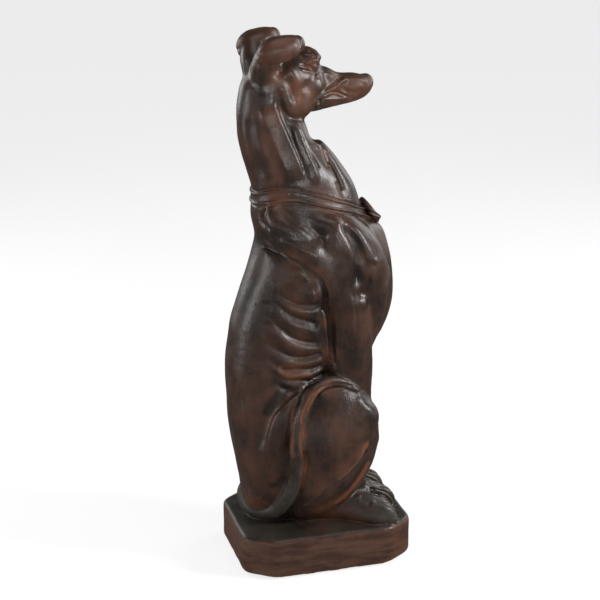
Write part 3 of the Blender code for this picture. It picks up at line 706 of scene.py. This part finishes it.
# Strokes beside and on the tail, on the right side alone
tailStrokes = {
    "line behind the tail": (6, -3.0, 0, [
        (-76, 96, 285), (-84, 108, 240), (-86, 110, 190), (-84, 100, 140)]),
    "low patch by the tail": (14, -2.0, 0, [
        (-90, 88, 126), (-100, 81, 105), (-116, 72, 92), (-130, 62, 88)]),
}
tailFine = {
    "ridge of the tail": (4.6, 2.6, 0, [
        (8, 88, 323), (-19, 72, 312), (-51, 92, 301), (-69, 98, 278), (-79, 99, 246), (-83, 105, 206),
        (-83, 110, 164), (-83, 105, 132)]),
    "hollow of the tail": (4.6, -1.6, 0, [
        (-30, 99, 312), (-53, 106, 292), (-69, 112, 267), (-77, 118, 231), (-77, 120, 189), (-74, 117, 153),
        (-79, 110, 116), (-94, 89, 73)]),
    "groove before the tail": (5.0, -4.8, 0, tailGroove),
}

# Strokes and marks on the head, laid on its right side as it is turned
headStrokes = {
    "line of the jaw": (6.5, -5.5, 0, [
        (-90, 43, 903), (-87, 46, 884), (-85, 48, 869), (-78, 42, 854), (-66, 40, 842), (-48, 32, 835),
        (-32, 26, 841), (-25, 30, 853)]),
    "ridge of the cheek": (11, 3.6, 0, [
        (-66, 42, 950), (-64, 41, 939), (-59, 45, 924), (-51, 45, 909), (-44, 40, 892), (-38, 38, 874)]),
    "hollow behind the cheek": (8, -3.0, 0, [
        (-70, 42, 922), (-68, 42, 911), (-66, 40, 897), (-60, 39, 883), (-50, 39, 868)]),
    "second ridge": (9, 2.0, 0, [(-78, 42, 905), (-75, 40, 894), (-68, 42, 880), (-62, 41, 862)]),
    "rear rim of the ear": (9, 3.0, 0, [
        (-126, 50, 958), (-125, 48, 935), (-122, 44, 905), (-118, 42, 880)]),
}
headMarks = {
    "hollow of the ear": ((-86, 44, 930), (11, 11, 12), -4.5),
    "lobe in the ear": ((-96, 46, 915), (13, 11, 9), 2.5),
    "muscle of the jaw": ((-62, 41, 863), (10, 10, 11), 2.0),
    "hollow of the jaw": ((-25, 31, 864), (11, 10, 11), -2.0),
    "side of the muzzle": ((16, 12, 903), (14, 11, 16), -5.5),
    "stop of the brow": ((10, 3, 930), (12, 14, 9), -3.0),
    "below the eye": ((-28, 31, 912), (10, 9, 8), 1.6),
    "pad of the lip": ((77, -5, 885), (22, 9, 10), 2.2),
}
headFine = {
    "outer lip": (4.8, 3.4, 0, [
        (1, 0, 848), (-8, 17, 865), (-2, 17, 874), (14, 10, 880), (29, 9, 886), (40, 6, 891), (47, 3, 896),
        (60, -3, 900), (78, -6, 899), (94, -11, 894), (106, -12, 886)]),
    "above the lip": (5.6, -2.6, 0, [
        (-14, 18, 864), (-8, 18, 877), (6, 15, 886), (22, 12, 893), (32, 8, 899), (42, 3, 906),
        (58, -2, 911)]),
    "mouth": (3.8, -4.8, 0, [
        (-6, 14, 858), (-3, 14, 864), (5, 16, 873), (23, 7, 877), (42, 0, 874), (55, -3, 867),
        (76, -6, 862)]),
    "inner lip": (3.8, 3.2, 0, [
        (4, 6, 856), (4, 13, 865), (12, 11, 868), (33, 3, 865), (52, -2, 865), (74, -6, 864)]),
    "under the inner lip": (3.4, -1.6, 0, [(13, 0, 854), (34, -2, 855), (58, -6, 858)]),
    "under the pad": (5.0, -2.4, 0, [(46, 2, 884), (60, -3, 876), (76, -6, 872), (94, -9, 875)]),
    "back of the pad": (4.6, 2.6, 0, [(40, 6, 884), (42, 6, 892), (50, 2, 899), (62, -3, 902)]),
    "upper lid": (4.0, 1.6, 0, [(-33, 29, 938), (-22, 25, 942), (-9, 22, 944), (-3, 20, 936)]),
    "eye": (3.4, -1.6, 0, [(-31, 29, 932), (-22, 26, 935), (-12, 23, 938), (-6, 22, 933)]),
    "line of the lid": (3.8, -3.0, 0, [
        (-46, 34, 937), (-36, 32, 935), (-25, 29, 931), (-17, 27, 927), (-8, 24, 915)]),
    "lower lid": (3.6, 2.0, 0, [
        (-44, 34, 931), (-32, 31, 926), (-19, 28, 923), (-10, 23, 914), (-4, 23, 908)]),
    "front of the brow": (6.0, 1.8, 0, [(2, 12, 946), (2, -2, 951), (-5, -14, 955)]),
    "corner of the brow": (4.4, -1.8, 0, [(-20, 10, 962), (-14, 14, 954), (-12, 20, 946)]),
    "ridge of the muzzle": (6.0, 1.4, 0, [(4, 12, 926), (10, 10, 922), (28, 5, 911), (46, 0, 903)]),
    "rim of the ear flap": (4.4, 1.6, 0, [
        (-118, 56, 952), (-124, 58, 966), (-114, 64, 986), (-92, 64, 996), (-66, 62, 997), (-52, 61, 990),
        (-52, 64, 973), (-66, 69, 963), (-80, 69, 955), (-98, 66, 950), (-114, 60, 950)]),
}

# Grooves between the toes: places across the paw, then (ahead, up) on a front paw and (step, up) on a hind
# one, and half width and rise
toeGrooves = {"offsets": (-16.5, 0.0, 16.5), "front": [(98, 51), (116, 46), (134, 35), (150, 15)],
              "hind": [(4, 46), (20, 40), (34, 28), (45, 10)], "cut": (3.4, -3.8)}


def toeStrokes():
    strokes = {}
    root = (pawPlace["hindAhead"], pawPlace["hindOut"])
    for offset in toeGrooves["offsets"]:
        for paw in (pawPlace["right"], pawPlace["left"]):
            line = [(ahead, paw + offset, up) for ahead, up in toeGrooves["front"]]
            strokes["front", paw, offset] = (*toeGrooves["cut"], 0, line)
        line = [(*onFoot(root, pawPlace["hindSplay"], step, offset), up) for step, up in toeGrooves["hind"]]
        strokes["hind", offset] = (*toeGrooves["cut"], 0, line)
    return strokes


collarShape = {
    # ahead, up, half width
    "run": [(-140, 677, 10.5), (-104, 690, 11), (-73, 693, 10.5), (-48, 690, 9.5), (-27, 683.5, 9),
            (6, 673, 9), (42, 660, 8), (70, 648, 7), (100, 633, 6.5), (125, 618, 6.5)],
    "stand": 1.6, "welt": 2.6, "undercut": 1.6,
    # in half widths from the middle: where the band ends, and the middle and width of the welt and the line
    "bandEnd": (1.2, 1.05), "weltPlace": (0.88, 0.19), "linePlace": (1.3, 0.16), "steps": 6,
}


def bellAt(value, middle, wide):
    return np.exp(-((value - middle) / wide) ** 2)


def buckleOn(thing):
    # a flat collar: a band lifted off the neck, a raised welt along each edge and a fine line outside them
    points, normals = readSkin(thing)
    rows = throughStations(collarShape["run"], collarShape["steps"])
    middle = np.interp(points[:, 0], rows[:, 0], rows[:, 1])
    half = np.interp(points[:, 0], rows[:, 0], rows[:, 2])
    across = np.abs(points[:, 2] - middle) / half
    band = smoothStep(*collarShape["bandEnd"], across)
    welt = bellAt(across, *collarShape["weltPlace"])
    line = bellAt(across, *collarShape["linePlace"])
    shift = collarShape["stand"] * band + collarShape["welt"] * welt - collarShape["undercut"] * line
    writeSkin(thing, points + normals * shift[:, None])


# Lumps are (length, height); what is pressed flat at the foot and the room round the frame are in metres
castSkin = {"lumps": ((46.0, 0.26), (16.0, 0.05), (6.0, 0.018)), "waves": 22, "seed": 7,
            "pressed": 0.0007, "room": 0.002}


def handWorked(thing):
    # shallow unevenness left by the mould and the brush: crossed waves of a few lengths
    rng = np.random.default_rng(castSkin["seed"])
    points, normals = readSkin(thing)
    shift = np.zeros(len(points))
    for length, height in castSkin["lumps"]:
        ways = rng.normal(size=(castSkin["waves"], 3))
        ways *= (2 * math.pi / length) / np.linalg.norm(ways, axis=1)[:, None]
        phases = rng.uniform(0, 2 * math.pi, castSkin["waves"])
        total = np.zeros(len(points))
        for way, phase in zip(ways, phases):
            total += np.sin(points @ way + phase)
        shift += height * total / math.sqrt(castSkin["waves"] / 2)
    writeSkin(thing, points + normals * shift[:, None])


def standFlat(thing):
    # the underside is pressed flat on the floor and nothing goes far past the frame's box
    points = readRows(thing.data.vertices, "co")
    points[points[:, 2] < castSkin["pressed"], 2] = 0.0
    points = np.clip(points, np.array(cadLow) - castSkin["room"], np.array(cadHigh) + castSkin["room"])
    thing.data.vertices.foreach_set("co", points.ravel())
    thing.data.update()


def meshEdges(thing):
    count = len(thing.data.edges)
    pairs = np.empty(count * 2, np.int32)
    thing.data.edges.foreach_get("vertices", pairs)
    return pairs.reshape(-1, 2)


def spreadOut(values, pairs, links, rounds):
    # each value moves halfway to the mean of its neighbours, round after round
    first, second = pairs.T
    for n in range(rounds):
        total = [np.bincount(first, v[second], len(v)) + np.bincount(second, v[first], len(v))
                 for v in values.T]
        values = 0.5 * values + 0.5 * np.stack(total, axis=1) / links[:, None]
    return values


hollowShape = {"fineRounds": 10, "broadRounds": 70, "fineSpan": 0.9, "broadSpan": 3.2}
plinthPaint = {"side": (-2, -7), "redSide": (0, -8), "red": 0.75}


def paintGuides(thing):
    # how deep in a hollow each point lies, fine and broad, where the grey bloom and the red rubbing sit,
    # and where rust and painted shade lie in lines
    points, normals = readSkin(thing)
    pairs = meshEdges(thing)
    links = np.bincount(pairs.ravel(), minlength=len(points)).astype(float)
    fine = spreadOut(points, pairs, links, hollowShape["fineRounds"])
    broad = spreadOut(fine, pairs, links, hollowShape["broadRounds"])
    guides = {
        "hollowFine": np.einsum("ij,ij->i", fine - points, normals) / hollowShape["fineSpan"],
        "hollowBroad": np.einsum("ij,ij->i", broad - points, normals) / hollowShape["broadSpan"],
        "bloom": bloomGuide(points, normals),
        "rubbed": rubbedGuide(points),
        "plinthSide": smoothStep(*plinthPaint["side"], points[:, 2]),
        "rustLine": lineGuide(thing, rustLines),
        "shadeLine": lineGuide(thing, shadeLines),
    }
    for name, values in guides.items():
        layer = thing.data.attributes.new(name, "FLOAT", "POINT")
        layer.data.foreach_set("value", values.astype(np.float32))


# Where rust lies in a line, and where painted shade darkens one: half width, strength, whether on both
# sides, and the places
rustLines = {
    "thigh over the fold": (7, 1.0, 1, [
        (-56, 78, 43), (-36, 92, 66), (-13, 105, 95), (6, 112, 111), (26, 116, 128), (49, 117, 151),
        (69, 114, 176), (80, 110, 198)]),
    "shin behind the foot": (7, 0.9, 1, [
        (86, 104, 142), (72, 103, 112), (54, 100, 86), (36, 94, 62), (10, 90, 36)]),
    "beside the tail": (5, 1.0, 0, tailGroove),
    "ridge before the tail": (7, 0.7, 0, [
        (-70, 100, 278), (-79, 106, 246), (-82, 112, 206), (-80, 113, 164)]),
    "ribs below": (9, 0.6, 1, [(-104, 84, 356), (-84, 86, 336), (-58, 84, 330), (-28, 76, 332)]),
    "cheek": (12, 0.6, 1, [(-58, 46, 925), (-50, 44, 890), (-44, 40, 862)]),
}
# painted shade: dark lines laid in the creases and recesses, and over the neck's side, where shade falls
shadeLines = {
    "in the fold": (5, 1.0, 1, [
        (-56, 80, 33), (-36, 94, 54), (-13, 107, 82), (6, 113, 98), (26, 116, 113), (49, 117, 134),
        (69, 114, 158), (80, 110, 178)]),
    "rim": (4, 0.8, 1, [(-119, 26, 588), (-90, 69, 577), (-62, 95, 564), (-29, 106, 538), (-11, 101, 502)]),
    "behind the ham": (13, 1.0, 1, [(-72, 84, 318), (-94, 84, 300), (-114, 80, 276), (-128, 78, 246)]),
    "low by the tail": (13, 0.8, 1, [(-88, 86, 118), (-104, 78, 100), (-122, 66, 92)]),
    "neck side": (22, 0.6, 1, [(-138, 34, 850), (-136, 36, 800), (-120, 40, 750), (-108, 44, 712)]),
    "in the arm": (6, 0.9, 1, armCrease[:-1]),
    "between the crests": (8, 0.9, 1, crestGroove),
    "under the lobe": (12, 0.7, 1, [(-110, 66, 628), (-92, 80, 622), (-70, 88, 617), (-40, 90, 612)]),
}


lineReach, lineFade = 3, 0.1  # in half widths, and as a share of the line


def lineGuide(thing, lines):
    points, normals = readSkin(thing)
    tree = skinTree(thing)
    guide = np.zeros(len(points))
    for wide, strength, onBoth, places in lines.values():
        for rows in onSides(places, (1, -1)[:1 + onBoth]).values():
            line, facings = layOn(tree, rows)
            near = besideLine(points, line, lineReach * wide)
            gap, along = alongLine(points[near], normals[near], line, facings)[:2]
            bell = np.exp(-(gap / wide) ** 2)
            bell = bell * smoothStep(0, lineFade, along) * smoothStep(0, lineFade, 1 - along)
            guide[near] = np.maximum(guide[near], bell * strength)
    return guide


bloomShape = {
    "tailTop": 345, "tailSide": (24, 15), "tailFade": (60, 150), "tailLost": 0.45, "tailSteps": 4,
    "pawAhead": (20, 60), "pawBelow": (62, 48), "pawAbove": (2, 9), "paws": 0.75,
    "plinthFacing": (0.7, 0.95), "plinthUp": (6, 1),
    "flapMiddle": (-92, 62, 972), "flapReach": (42, 16, 26), "flap": 0.35,
}


def bloomGuide(points, normals):
    # grey-green bloom: on the tail, the paws, the top of the plinth and the ear flaps
    route = throughStations([row[:3] for row in tailRoute], bloomShape["tailSteps"])
    near = np.flatnonzero(points[:, 2] < bloomShape["tailTop"])
    gap = alongLine(points[near], normals[near], route, np.zeros((len(route), 3)))[0]
    bloom = np.zeros(len(points))
    lost = bloomShape["tailLost"] * smoothStep(*bloomShape["tailFade"], points[near, 2])
    bloom[near] = smoothStep(*bloomShape["tailSide"], gap) * (1 - lost)
    ahead, right, up = points.T
    paws = smoothStep(*bloomShape["pawAhead"], ahead) * smoothStep(*bloomShape["pawBelow"], up)
    paws *= smoothStep(*bloomShape["pawAbove"], up)
    top = smoothStep(*bloomShape["plinthFacing"], normals[:, 2]) * smoothStep(*bloomShape["plinthUp"], up)
    away = turnHead(points, True)
    away[:, 1] = np.abs(away[:, 1])
    away = (away - bloomShape["flapMiddle"]) / bloomShape["flapReach"]
    flap = np.exp(-np.sum(away ** 2, axis=1))
    return np.clip(bloom + bloomShape["paws"] * paws + top + bloomShape["flap"] * flap, 0, 1)


# Where the red-brown shows: ahead, right, up, reach, strength
rubbedPlaces = [
    (-60, 50, 900, 34, 0.9), (-90, 50, 918, 24, 1.0), (-30, 30, 880, 30, 0.8), (-20, 25, 935, 18, 0.9),
    (-92, 50, 985, 36, 0.7), (20, 12, 900, 30, 0.6), (70, 0, 880, 34, 0.7), (-105, 48, 845, 30, 0.7),
    (-118, 40, 790, 44, 0.8), (-108, 50, 735, 34, 0.7), (-100, 58, 690, 26, 0.9), (0, 55, 676, 40, 0.6),
    (10, 40, 760, 30, 0.5), (-76, 90, 577, 24, 0.7), (-30, 104, 545, 22, 0.7), (-70, 88, 480, 26, 0.5),
    (-70, 86, 345, 30, 0.8), (-75, 84, 400, 26, 0.5), (-110, 80, 290, 26, 0.8), (-120, 80, 245, 26, 0.8),
    (-108, 72, 100, 26, 0.9), (-135, 30, 40, 34, 0.8), (-63, 118, 220, 16, 1.0), (-57, 110, 140, 20, 1.0),
    (0, 96, 306, 24, 0.9), (-45, 106, 292, 16, 0.8), (20, 118, 130, 34, 0.8), (-20, 104, 92, 28, 1.0),
    (60, 114, 165, 30, 0.8), (40, 120, 210, 44, 0.5), (0, 88, 14, 46, 0.8), (60, 92, 14, 40, 0.8),
    (60, 62, 300, 40, 0.4), (66, 56, 170, 40, 0.6), (92, 85, 540, 22, 0.5), (62, 90, 570, 18, 0.7),
    (40, 0, 885, 40, 0.8), (90, 0, 885, 40, 0.8), (-50, 35, 860, 30, 0.8), (-150, 50, 250, 60, 0.6),
    (-140, 60, 140, 60, 0.6), (110, 30, 560, 40, 0.5), (70, 86, 430, 50, 0.4),
    (20, 110, 210, 60, 0.55), (-40, 100, 130, 50, 0.6), (0, 20, 985, 40, 0.7), (-100, -60, 990, 60, 0.8),
    (-2, 80, 440, 18, 0.9), (8, 76, 370, 18, 0.9), (-130, 60, 170, 46, 0.4), (-150, 40, 320, 60, 0.4),
]


def rubbedGuide(points):
    rubbed = np.zeros(len(points))
    for ahead, right, up, reach, strength in rubbedPlaces:
        for spot in onSides((ahead, right, up)).values():
            rubbed = np.maximum(rubbed, strength * np.exp(-np.sum(((points - spot) / reach) ** 2, axis=1)))
    return np.maximum(rubbed, plinthPaint["red"] * smoothStep(*plinthPaint["redSide"], points[:, 2]))


thinTo = 192000  # triangles


def thinOut(thing):
    # fewer triangles, kept where the surface bends
    thin = thing.modifiers.new("thin", "DECIMATE")
    thin.ratio = thinTo / sum(len(p.vertices) - 2 for p in thing.data.polygons)
    settle(thing)


# Stages of the skin: grain in metres, and rounds of softening
stages = {"masses": (0.0025, 10), "muscles": (0.0020, 5), "skin": (0.0012, 6)}
# Over what share of its length a stroke fades in at its first place and out at its last
endFades = {"ribs": (0.5, 0.03), "fine": (0.1, 0.1), "toes": (0.15, 0.02), "face": (0.08, 0.08)}
fuse(statue, trunk() + breast() + [limb(neckShape, True)] + head() + haunch() + shoulder()
     + foreleg(1, pawPlace["right"]) + foreleg(-1, pawPlace["left"]), *stages["masses"])
print("masses fused", len(statue.data.vertices))
fuse(statue, bothSides(limb(haunchShape["foot"])) + eyes(), *stages["muscles"])
press(statue, bodyMarks)
carve(statue, ribStrokes(), fades=endFades["ribs"])
carve(statue, bodyStrokes)
carve(statue, tailStrokes, sides=(1,))
flatten(statue, bodyStrips)
carve(statue, headStrokes, True)
print("muscles carved", len(statue.data.vertices))
fuse(statue, ears() + tag() + tail() + frontToes(pawPlace["right"]) + frontToes(pawPlace["left"])
     + hindToes() + plinth(), *stages["skin"])
press(statue, headMarks, True)
buckleOn(statue)
carve(statue, bodyFine, fades=endFades["fine"])
carve(statue, tailFine, fades=endFades["fine"], sides=(1,))
carve(statue, toeStrokes(), fades=endFades["toes"])
carve(statue, headFine, True, fades=endFades["face"])
handWorked(statue)
print("fine work done", len(statue.data.vertices))
standFlat(statue)
paintGuides(statue)
thinOut(statue)
statue.data.shade_smooth()
print("thinned", len(statue.data.polygons), [a.name for a in statue.data.attributes])


class Wire:
    # a socket that adds Math nodes when it is used in a sum
    def __init__(self, bench, socket):
        self.bench = bench
        self.socket = socket

    def maths(self, operation, first, second=0.0):
        return self.bench.node("ShaderNodeMath", {"operation": operation}, {0: first, 1: second})

    def __add__(self, other):
        return self.maths("ADD", self, other)

    __radd__ = __add__

    def __sub__(self, other):
        return self.maths("SUBTRACT", self, other)

    def __rsub__(self, other):
        return self.maths("SUBTRACT", other, self)

    def __mul__(self, other):
        return self.maths("MULTIPLY", self, other)

    __rmul__ = __mul__

    def __abs__(self):
        return self.maths("ABSOLUTE", self)

    def fit(self, low, high):
        # 0 at low, 1 at high, with soft ends
        return self.bench.node("ShaderNodeMapRange", {"interpolation_type": "SMOOTHSTEP"},
                               {"Value": self, "From Min": low, "From Max": high})


class Bench:
    # the nodes of one material, or of the world, whose last node is named
    def __init__(self, owner, last="Principled BSDF"):
        owner.use_nodes = True
        self.owner = owner
        self.tree = owner.node_tree
        self.surface = self.tree.nodes[last]

    def put(self, socket, value):
        if isinstance(value, Wire):
            self.tree.links.new(value.socket, socket)
        else:
            socket.default_value = value

    def node(self, kind, settings, sockets, output=0):
        made = self.tree.nodes.new(kind)
        for name, value in settings.items():
            setattr(made, name, value)
        for name, value in sockets.items():
            self.put(made.inputs[name], value)
        return Wire(self, made.outputs[output])

    def guide(self, name):
        return self.node("ShaderNodeAttribute", {"attribute_name": name}, {}, "Fac")

    def noise(self, scale, detail=3.0, rough=0.55, stretch=(1, 1, 1)):
        place = self.node("ShaderNodeTexCoord", {}, {}, "Object")
        place = self.node("ShaderNodeMapping", {}, {"Vector": place, "Scale": stretch})
        return self.node("ShaderNodeTexNoise", {}, {"Vector": place, "Scale": scale, "Detail": detail,
                                                    "Roughness": rough}, "Fac")

    def mix(self, amount, first, second):
        # the two colours go to sockets 6 and 7, and the mixed one leaves by 2
        return self.node("ShaderNodeMix", {"data_type": "RGBA"}, {0: amount, 6: first, 7: second}, 2)

    def bump(self, height, distance, strength, normal=None):
        sockets = {"Height": height, "Distance": distance, "Strength": strength}
        if normal:
            sockets["Normal"] = normal
        return self.node("ShaderNodeBump", {}, sockets)


lacquer = {
    # dark is also the colour of the painted shade in creases and hollows
    "dark": (0.014, 0.0105, 0.0085, 1), "brown": (0.043, 0.020, 0.0125, 1), "red": (0.094, 0.034, 0.016, 1),
    "rust": (0.17, 0.056, 0.020, 1), "bloom": (0.040, 0.038, 0.030, 1), "dust": (0.15, 0.088, 0.06, 1),
    # roughness where nothing adds to it, and what adds to it
    "roughness": 0.18, "bloomRoughness": 0.08, "grainRoughness": 0.14, "rubbedRoughness": 0.16,
    "patchRoughness": 0.08,
    # noises: scale, detail, roughness and stretch
    "noises": {"cloud": (15.0, 4.0, 0.62), "patch": (46.0, 4.0, 0.66),
               "streak": (34.0, 4.0, 0.62, (1.0, 1.0, 0.3)), "brush": (150.0, 3.0, 0.6, (1.0, 1.0, 0.4)),
               "level": (60.0, 4.0, 0.62, (0.22, 0.22, 1.6))},
    # how much of each layer covers what is under it, where it is whole
    "creaseRust": 0.9, "lines": 0.85, "hollowShade": 0.75, "wear": 0.14, "film": 0.10, "plinthDust": 0.30,
    "plinthDark": 0.6,
    # grain in the surface: noise, height in metres, strength
    "grains": [((430.0, 3.0, 0.6), 0.0010, 0.26), ((150.0, 3.0, 0.55), 0.0016, 0.18)],
}


def paintStatue():
    bench = Bench(bpy.data.materials.new("brown_lacquer_on_concrete"))
    fine, broad, bloom, rubbed, side, rustLine, shadeLine = [bench.guide(name) for name in (
        "hollowFine", "hollowBroad", "bloom", "rubbed", "plinthSide", "rustLine", "shadeLine")]
    cloud, patch, streak, brush, level = [bench.noise(*noise) for noise in lacquer["noises"].values()]
    # a clouded ground, red where hands and rain rub it and rust in the creases
    ground = (cloud * 0.5 + patch * 0.3 + streak * 0.2).fit(0.36, 0.62)
    colour = bench.mix(ground, lacquer["dark"], lacquer["brown"])
    redness = (rubbed * 0.85 + patch * 0.55 + streak * 0.5 - 0.52).fit(0.0, 0.85)
    colour = bench.mix(redness, colour, lacquer["red"])
    crease = (fine * 0.9 + streak * 0.4 - 0.25).fit(0.15, 0.7) * (rubbed * 0.9 + 0.1)
    colour = bench.mix(crease * lacquer["creaseRust"], colour, lacquer["rust"])
    # the bloom lies in clouds, and over it the rust lines, the painted shade lines and the painted shade in
    # deep hollows
    green = (bloom * 0.9 + streak * 0.5 - 0.45).fit(0.1, 0.55)
    colour = bench.mix(green * (0.5 + cloud * 0.7).fit(0.6, 1.0), colour, lacquer["bloom"])
    rusty = (rustLine * 1.1 + patch * 0.7 - 0.5).fit(0.0, 0.8)
    colour = bench.mix(rusty * lacquer["lines"], colour, lacquer["rust"])
    # painted shade: dark laid along the shade lines in the creases and recesses
    dark = (shadeLine * 1.1 + patch * 0.3 - 0.25).fit(0.0, 0.8)
    colour = bench.mix(dark * lacquer["lines"], colour, lacquer["dark"])
    # painted shade: dark deep in the broad hollows, less where the lacquer is rubbed red
    pit = (broad + streak * 0.35 - 0.2).fit(0.3, 1.0)
    colour = bench.mix(pit * (1 - rubbed) * lacquer["hollowShade"], colour, lacquer["dark"])
    # edges are worn pale, and a dusty film lies in level streaks on the plinth's sides
    wear = (0.0 - fine - 0.15 + brush * 0.3).fit(0.15, 0.6)
    colour = bench.mix(wear * lacquer["wear"], colour, lacquer["dust"])
    film = (streak * 0.6 + brush * 0.4).fit(0.42, 0.66) * (1 - side) * lacquer["film"] \
        + level.fit(0.42, 0.68) * side * lacquer["plinthDust"]
    colour = bench.mix(film, colour, lacquer["dust"])
    bare = (0.95 - level - patch * 0.2).fit(0.30, 0.55)
    colour = bench.mix(bare * side * lacquer["plinthDark"], colour, lacquer["dark"])
    bench.put(bench.surface.inputs["Base Color"], colour)
    rough = brush * lacquer["grainRoughness"] + bloom * lacquer["bloomRoughness"] \
        + rubbed * lacquer["rubbedRoughness"] + patch * lacquer["patchRoughness"] + lacquer["roughness"]
    bench.put(bench.surface.inputs["Roughness"], rough)
    normal = None
    for noise, height, strength in lacquer["grains"]:
        normal = bench.bump(bench.noise(*noise), height, strength, normal)
    bench.put(bench.surface.inputs["Normal"], normal)
    return bench.owner


statue.data.materials.clear()
statue.data.materials.append(paintStatue())
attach(statue, "root")
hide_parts("greyhound_statue")
print("painted")

# Camera where the photo was taken from: degrees, metres, and the lens in pixels of a 600 pixel frame
photoView = {"azimuth": 253.4, "distance": 2.2, "height": 1.1325, "pitch": 18.6, "lensPixels": 1603.0,
             "pixelsAside": 17.5, "frame": 600.0, "sensor": 36.0}


def setCamera():
    camera = bpy.data.cameras.new("camera")
    camera.sensor_width = photoView["sensor"]
    camera.lens = photoView["lensPixels"] / photoView["frame"] * photoView["sensor"]
    thing = bpy.data.objects.new("camera", camera)
    bpy.context.scene.collection.objects.link(thing)
    turn, pitch = math.radians(photoView["azimuth"]), math.radians(photoView["pitch"])
    ahead = Vector((-math.sin(turn), math.cos(turn), 0))
    ahead.rotate(Matrix.Rotation(math.atan2(photoView["pixelsAside"], photoView["lensPixels"]), 3, "Z"))
    look = Vector((ahead.x * math.cos(pitch), ahead.y * math.cos(pitch), -math.sin(pitch)))
    right = look.cross(Vector((0, 0, 1))).normalized()
    stand = Matrix((right, right.cross(look), -look)).transposed().to_4x4()
    stand.translation = (math.sin(turn) * photoView["distance"],
                         -math.cos(turn) * photoView["distance"] - figureAhead, photoView["height"])
    thing.matrix_world = stand
    bpy.context.scene.camera = thing


# Area lamps: degrees from the camera round the statue, height, distance, wide, tall, watts, height aimed at
lamps = {
    "window": (77, 1.07, 1.7, 0.34, 0.60, 21, 0.50),
    "left": (-66, 0.55, 1.8, 0.40, 0.90, 6, 0.40),
    "back": (132, 1.25, 1.9, 0.8, 1.2, 9, 0.45),
    "side": (-125, 1.0, 1.9, 0.8, 1.2, 9, 0.40),
    "top": (20, 2.3, 0.8, 1.2, 1.2, 8, 0.40),
}
# Snooted lamps: degrees from the camera, height, distance, radius, watts, cone in degrees, ahead and height
# aimed at
spots = {
    "neck": (18, 0.62, 1.4, 0.13, 20.0, 15.0, 0.03, 0.66),
    "ribs": (40, 0.78, 1.4, 0.10, 16.0, 9.0, -0.03, 0.42),
}
spotBlend = 0.6


def hangLamp(lamp, turn, height, distance, aim):
    # a lamp hangs at x = sin(angle) * distance, y = -cos(angle) * distance and looks at its aim
    thing = bpy.data.objects.new(lamp.name, lamp)
    angle = math.radians(photoView["azimuth"] + turn)
    thing.location = (math.sin(angle) * distance, -math.cos(angle) * distance, height)
    thing.rotation_euler = (Vector(aim) - thing.location).to_track_quat("-Z", "Y").to_euler()
    thing.visible_camera = False
    bpy.context.scene.collection.objects.link(thing)


def setLamps():
    for name, (turn, height, distance, wide, tall, watts, aimed) in lamps.items():
        lamp = bpy.data.lights.new(name, "AREA")
        lamp.shape = "RECTANGLE"
        lamp.size, lamp.size_y = wide, tall
        lamp.energy = watts
        hangLamp(lamp, turn, height, distance, (0, 0, aimed))
    for name, (turn, height, distance, radius, watts, cone, ahead, aimed) in spots.items():
        lamp = bpy.data.lights.new(name, "SPOT")
        lamp.shadow_soft_size = radius
        lamp.energy = watts
        lamp.spot_size = math.radians(cone)
        lamp.spot_blend = spotBlend
        hangLamp(lamp, turn, height, distance, (0, -ahead, aimed))


studio = {"floor": (0.40, 0.40, 0.40, 1), "floorRoughness": 0.9, "floorSize": 60.0, "floorDrop": 0.0003,
          "glow": 0.78, "air": (1.0, 1.0, 1.0, 1), "horizon": 0.9, "away": 0.10, "spread": (0.03, 0.22)}


def setStudio():
    half = studio["floorSize"] / 2
    mesh = bpy.data.meshes.new("floor")
    corners = [(-half, -half, 0), (half, -half, 0), (half, half, 0), (-half, half, 0)]
    mesh.from_pydata(corners, [], [(0, 1, 2, 3)])
    floor = bpy.data.objects.new("floor", mesh)
    bpy.context.scene.collection.objects.link(floor)
    floor.location.z = -studio["floorDrop"]
    bench = Bench(bpy.data.materials.new("pale_floor"))
    for name, value in (("Base Color", studio["floor"]), ("Roughness", studio["floorRoughness"]),
                        ("Emission Color", studio["air"]), ("Emission Strength", studio["glow"])):
        bench.put(bench.surface.inputs[name], value)
    mesh.materials.append(bench.owner)
    floor.visible_glossy = False
    # the air is bright round the horizon and dim above and below it, the same on every side
    bpy.context.scene.world = bpy.data.worlds.new("studio")
    air = Bench(bpy.context.scene.world, "Background")
    place = air.node("ShaderNodeTexCoord", {}, {}, "Generated")
    up = air.node("ShaderNodeSeparateXYZ", {}, {"Vector": place}, "Z")
    fade = air.node("ShaderNodeMapRange", {"interpolation_type": "SMOOTHSTEP"}, {
        "Value": abs(up), "From Min": studio["spread"][0], "From Max": studio["spread"][1],
        "To Min": studio["horizon"], "To Max": studio["away"]})
    air.put(air.surface.inputs["Color"], studio["air"])
    air.put(air.surface.inputs["Strength"], fade)
    bpy.context.scene.view_settings.view_transform = "Standard"


setCamera()
setLamps()
setStudio()
print("camera, lamps and studio set")
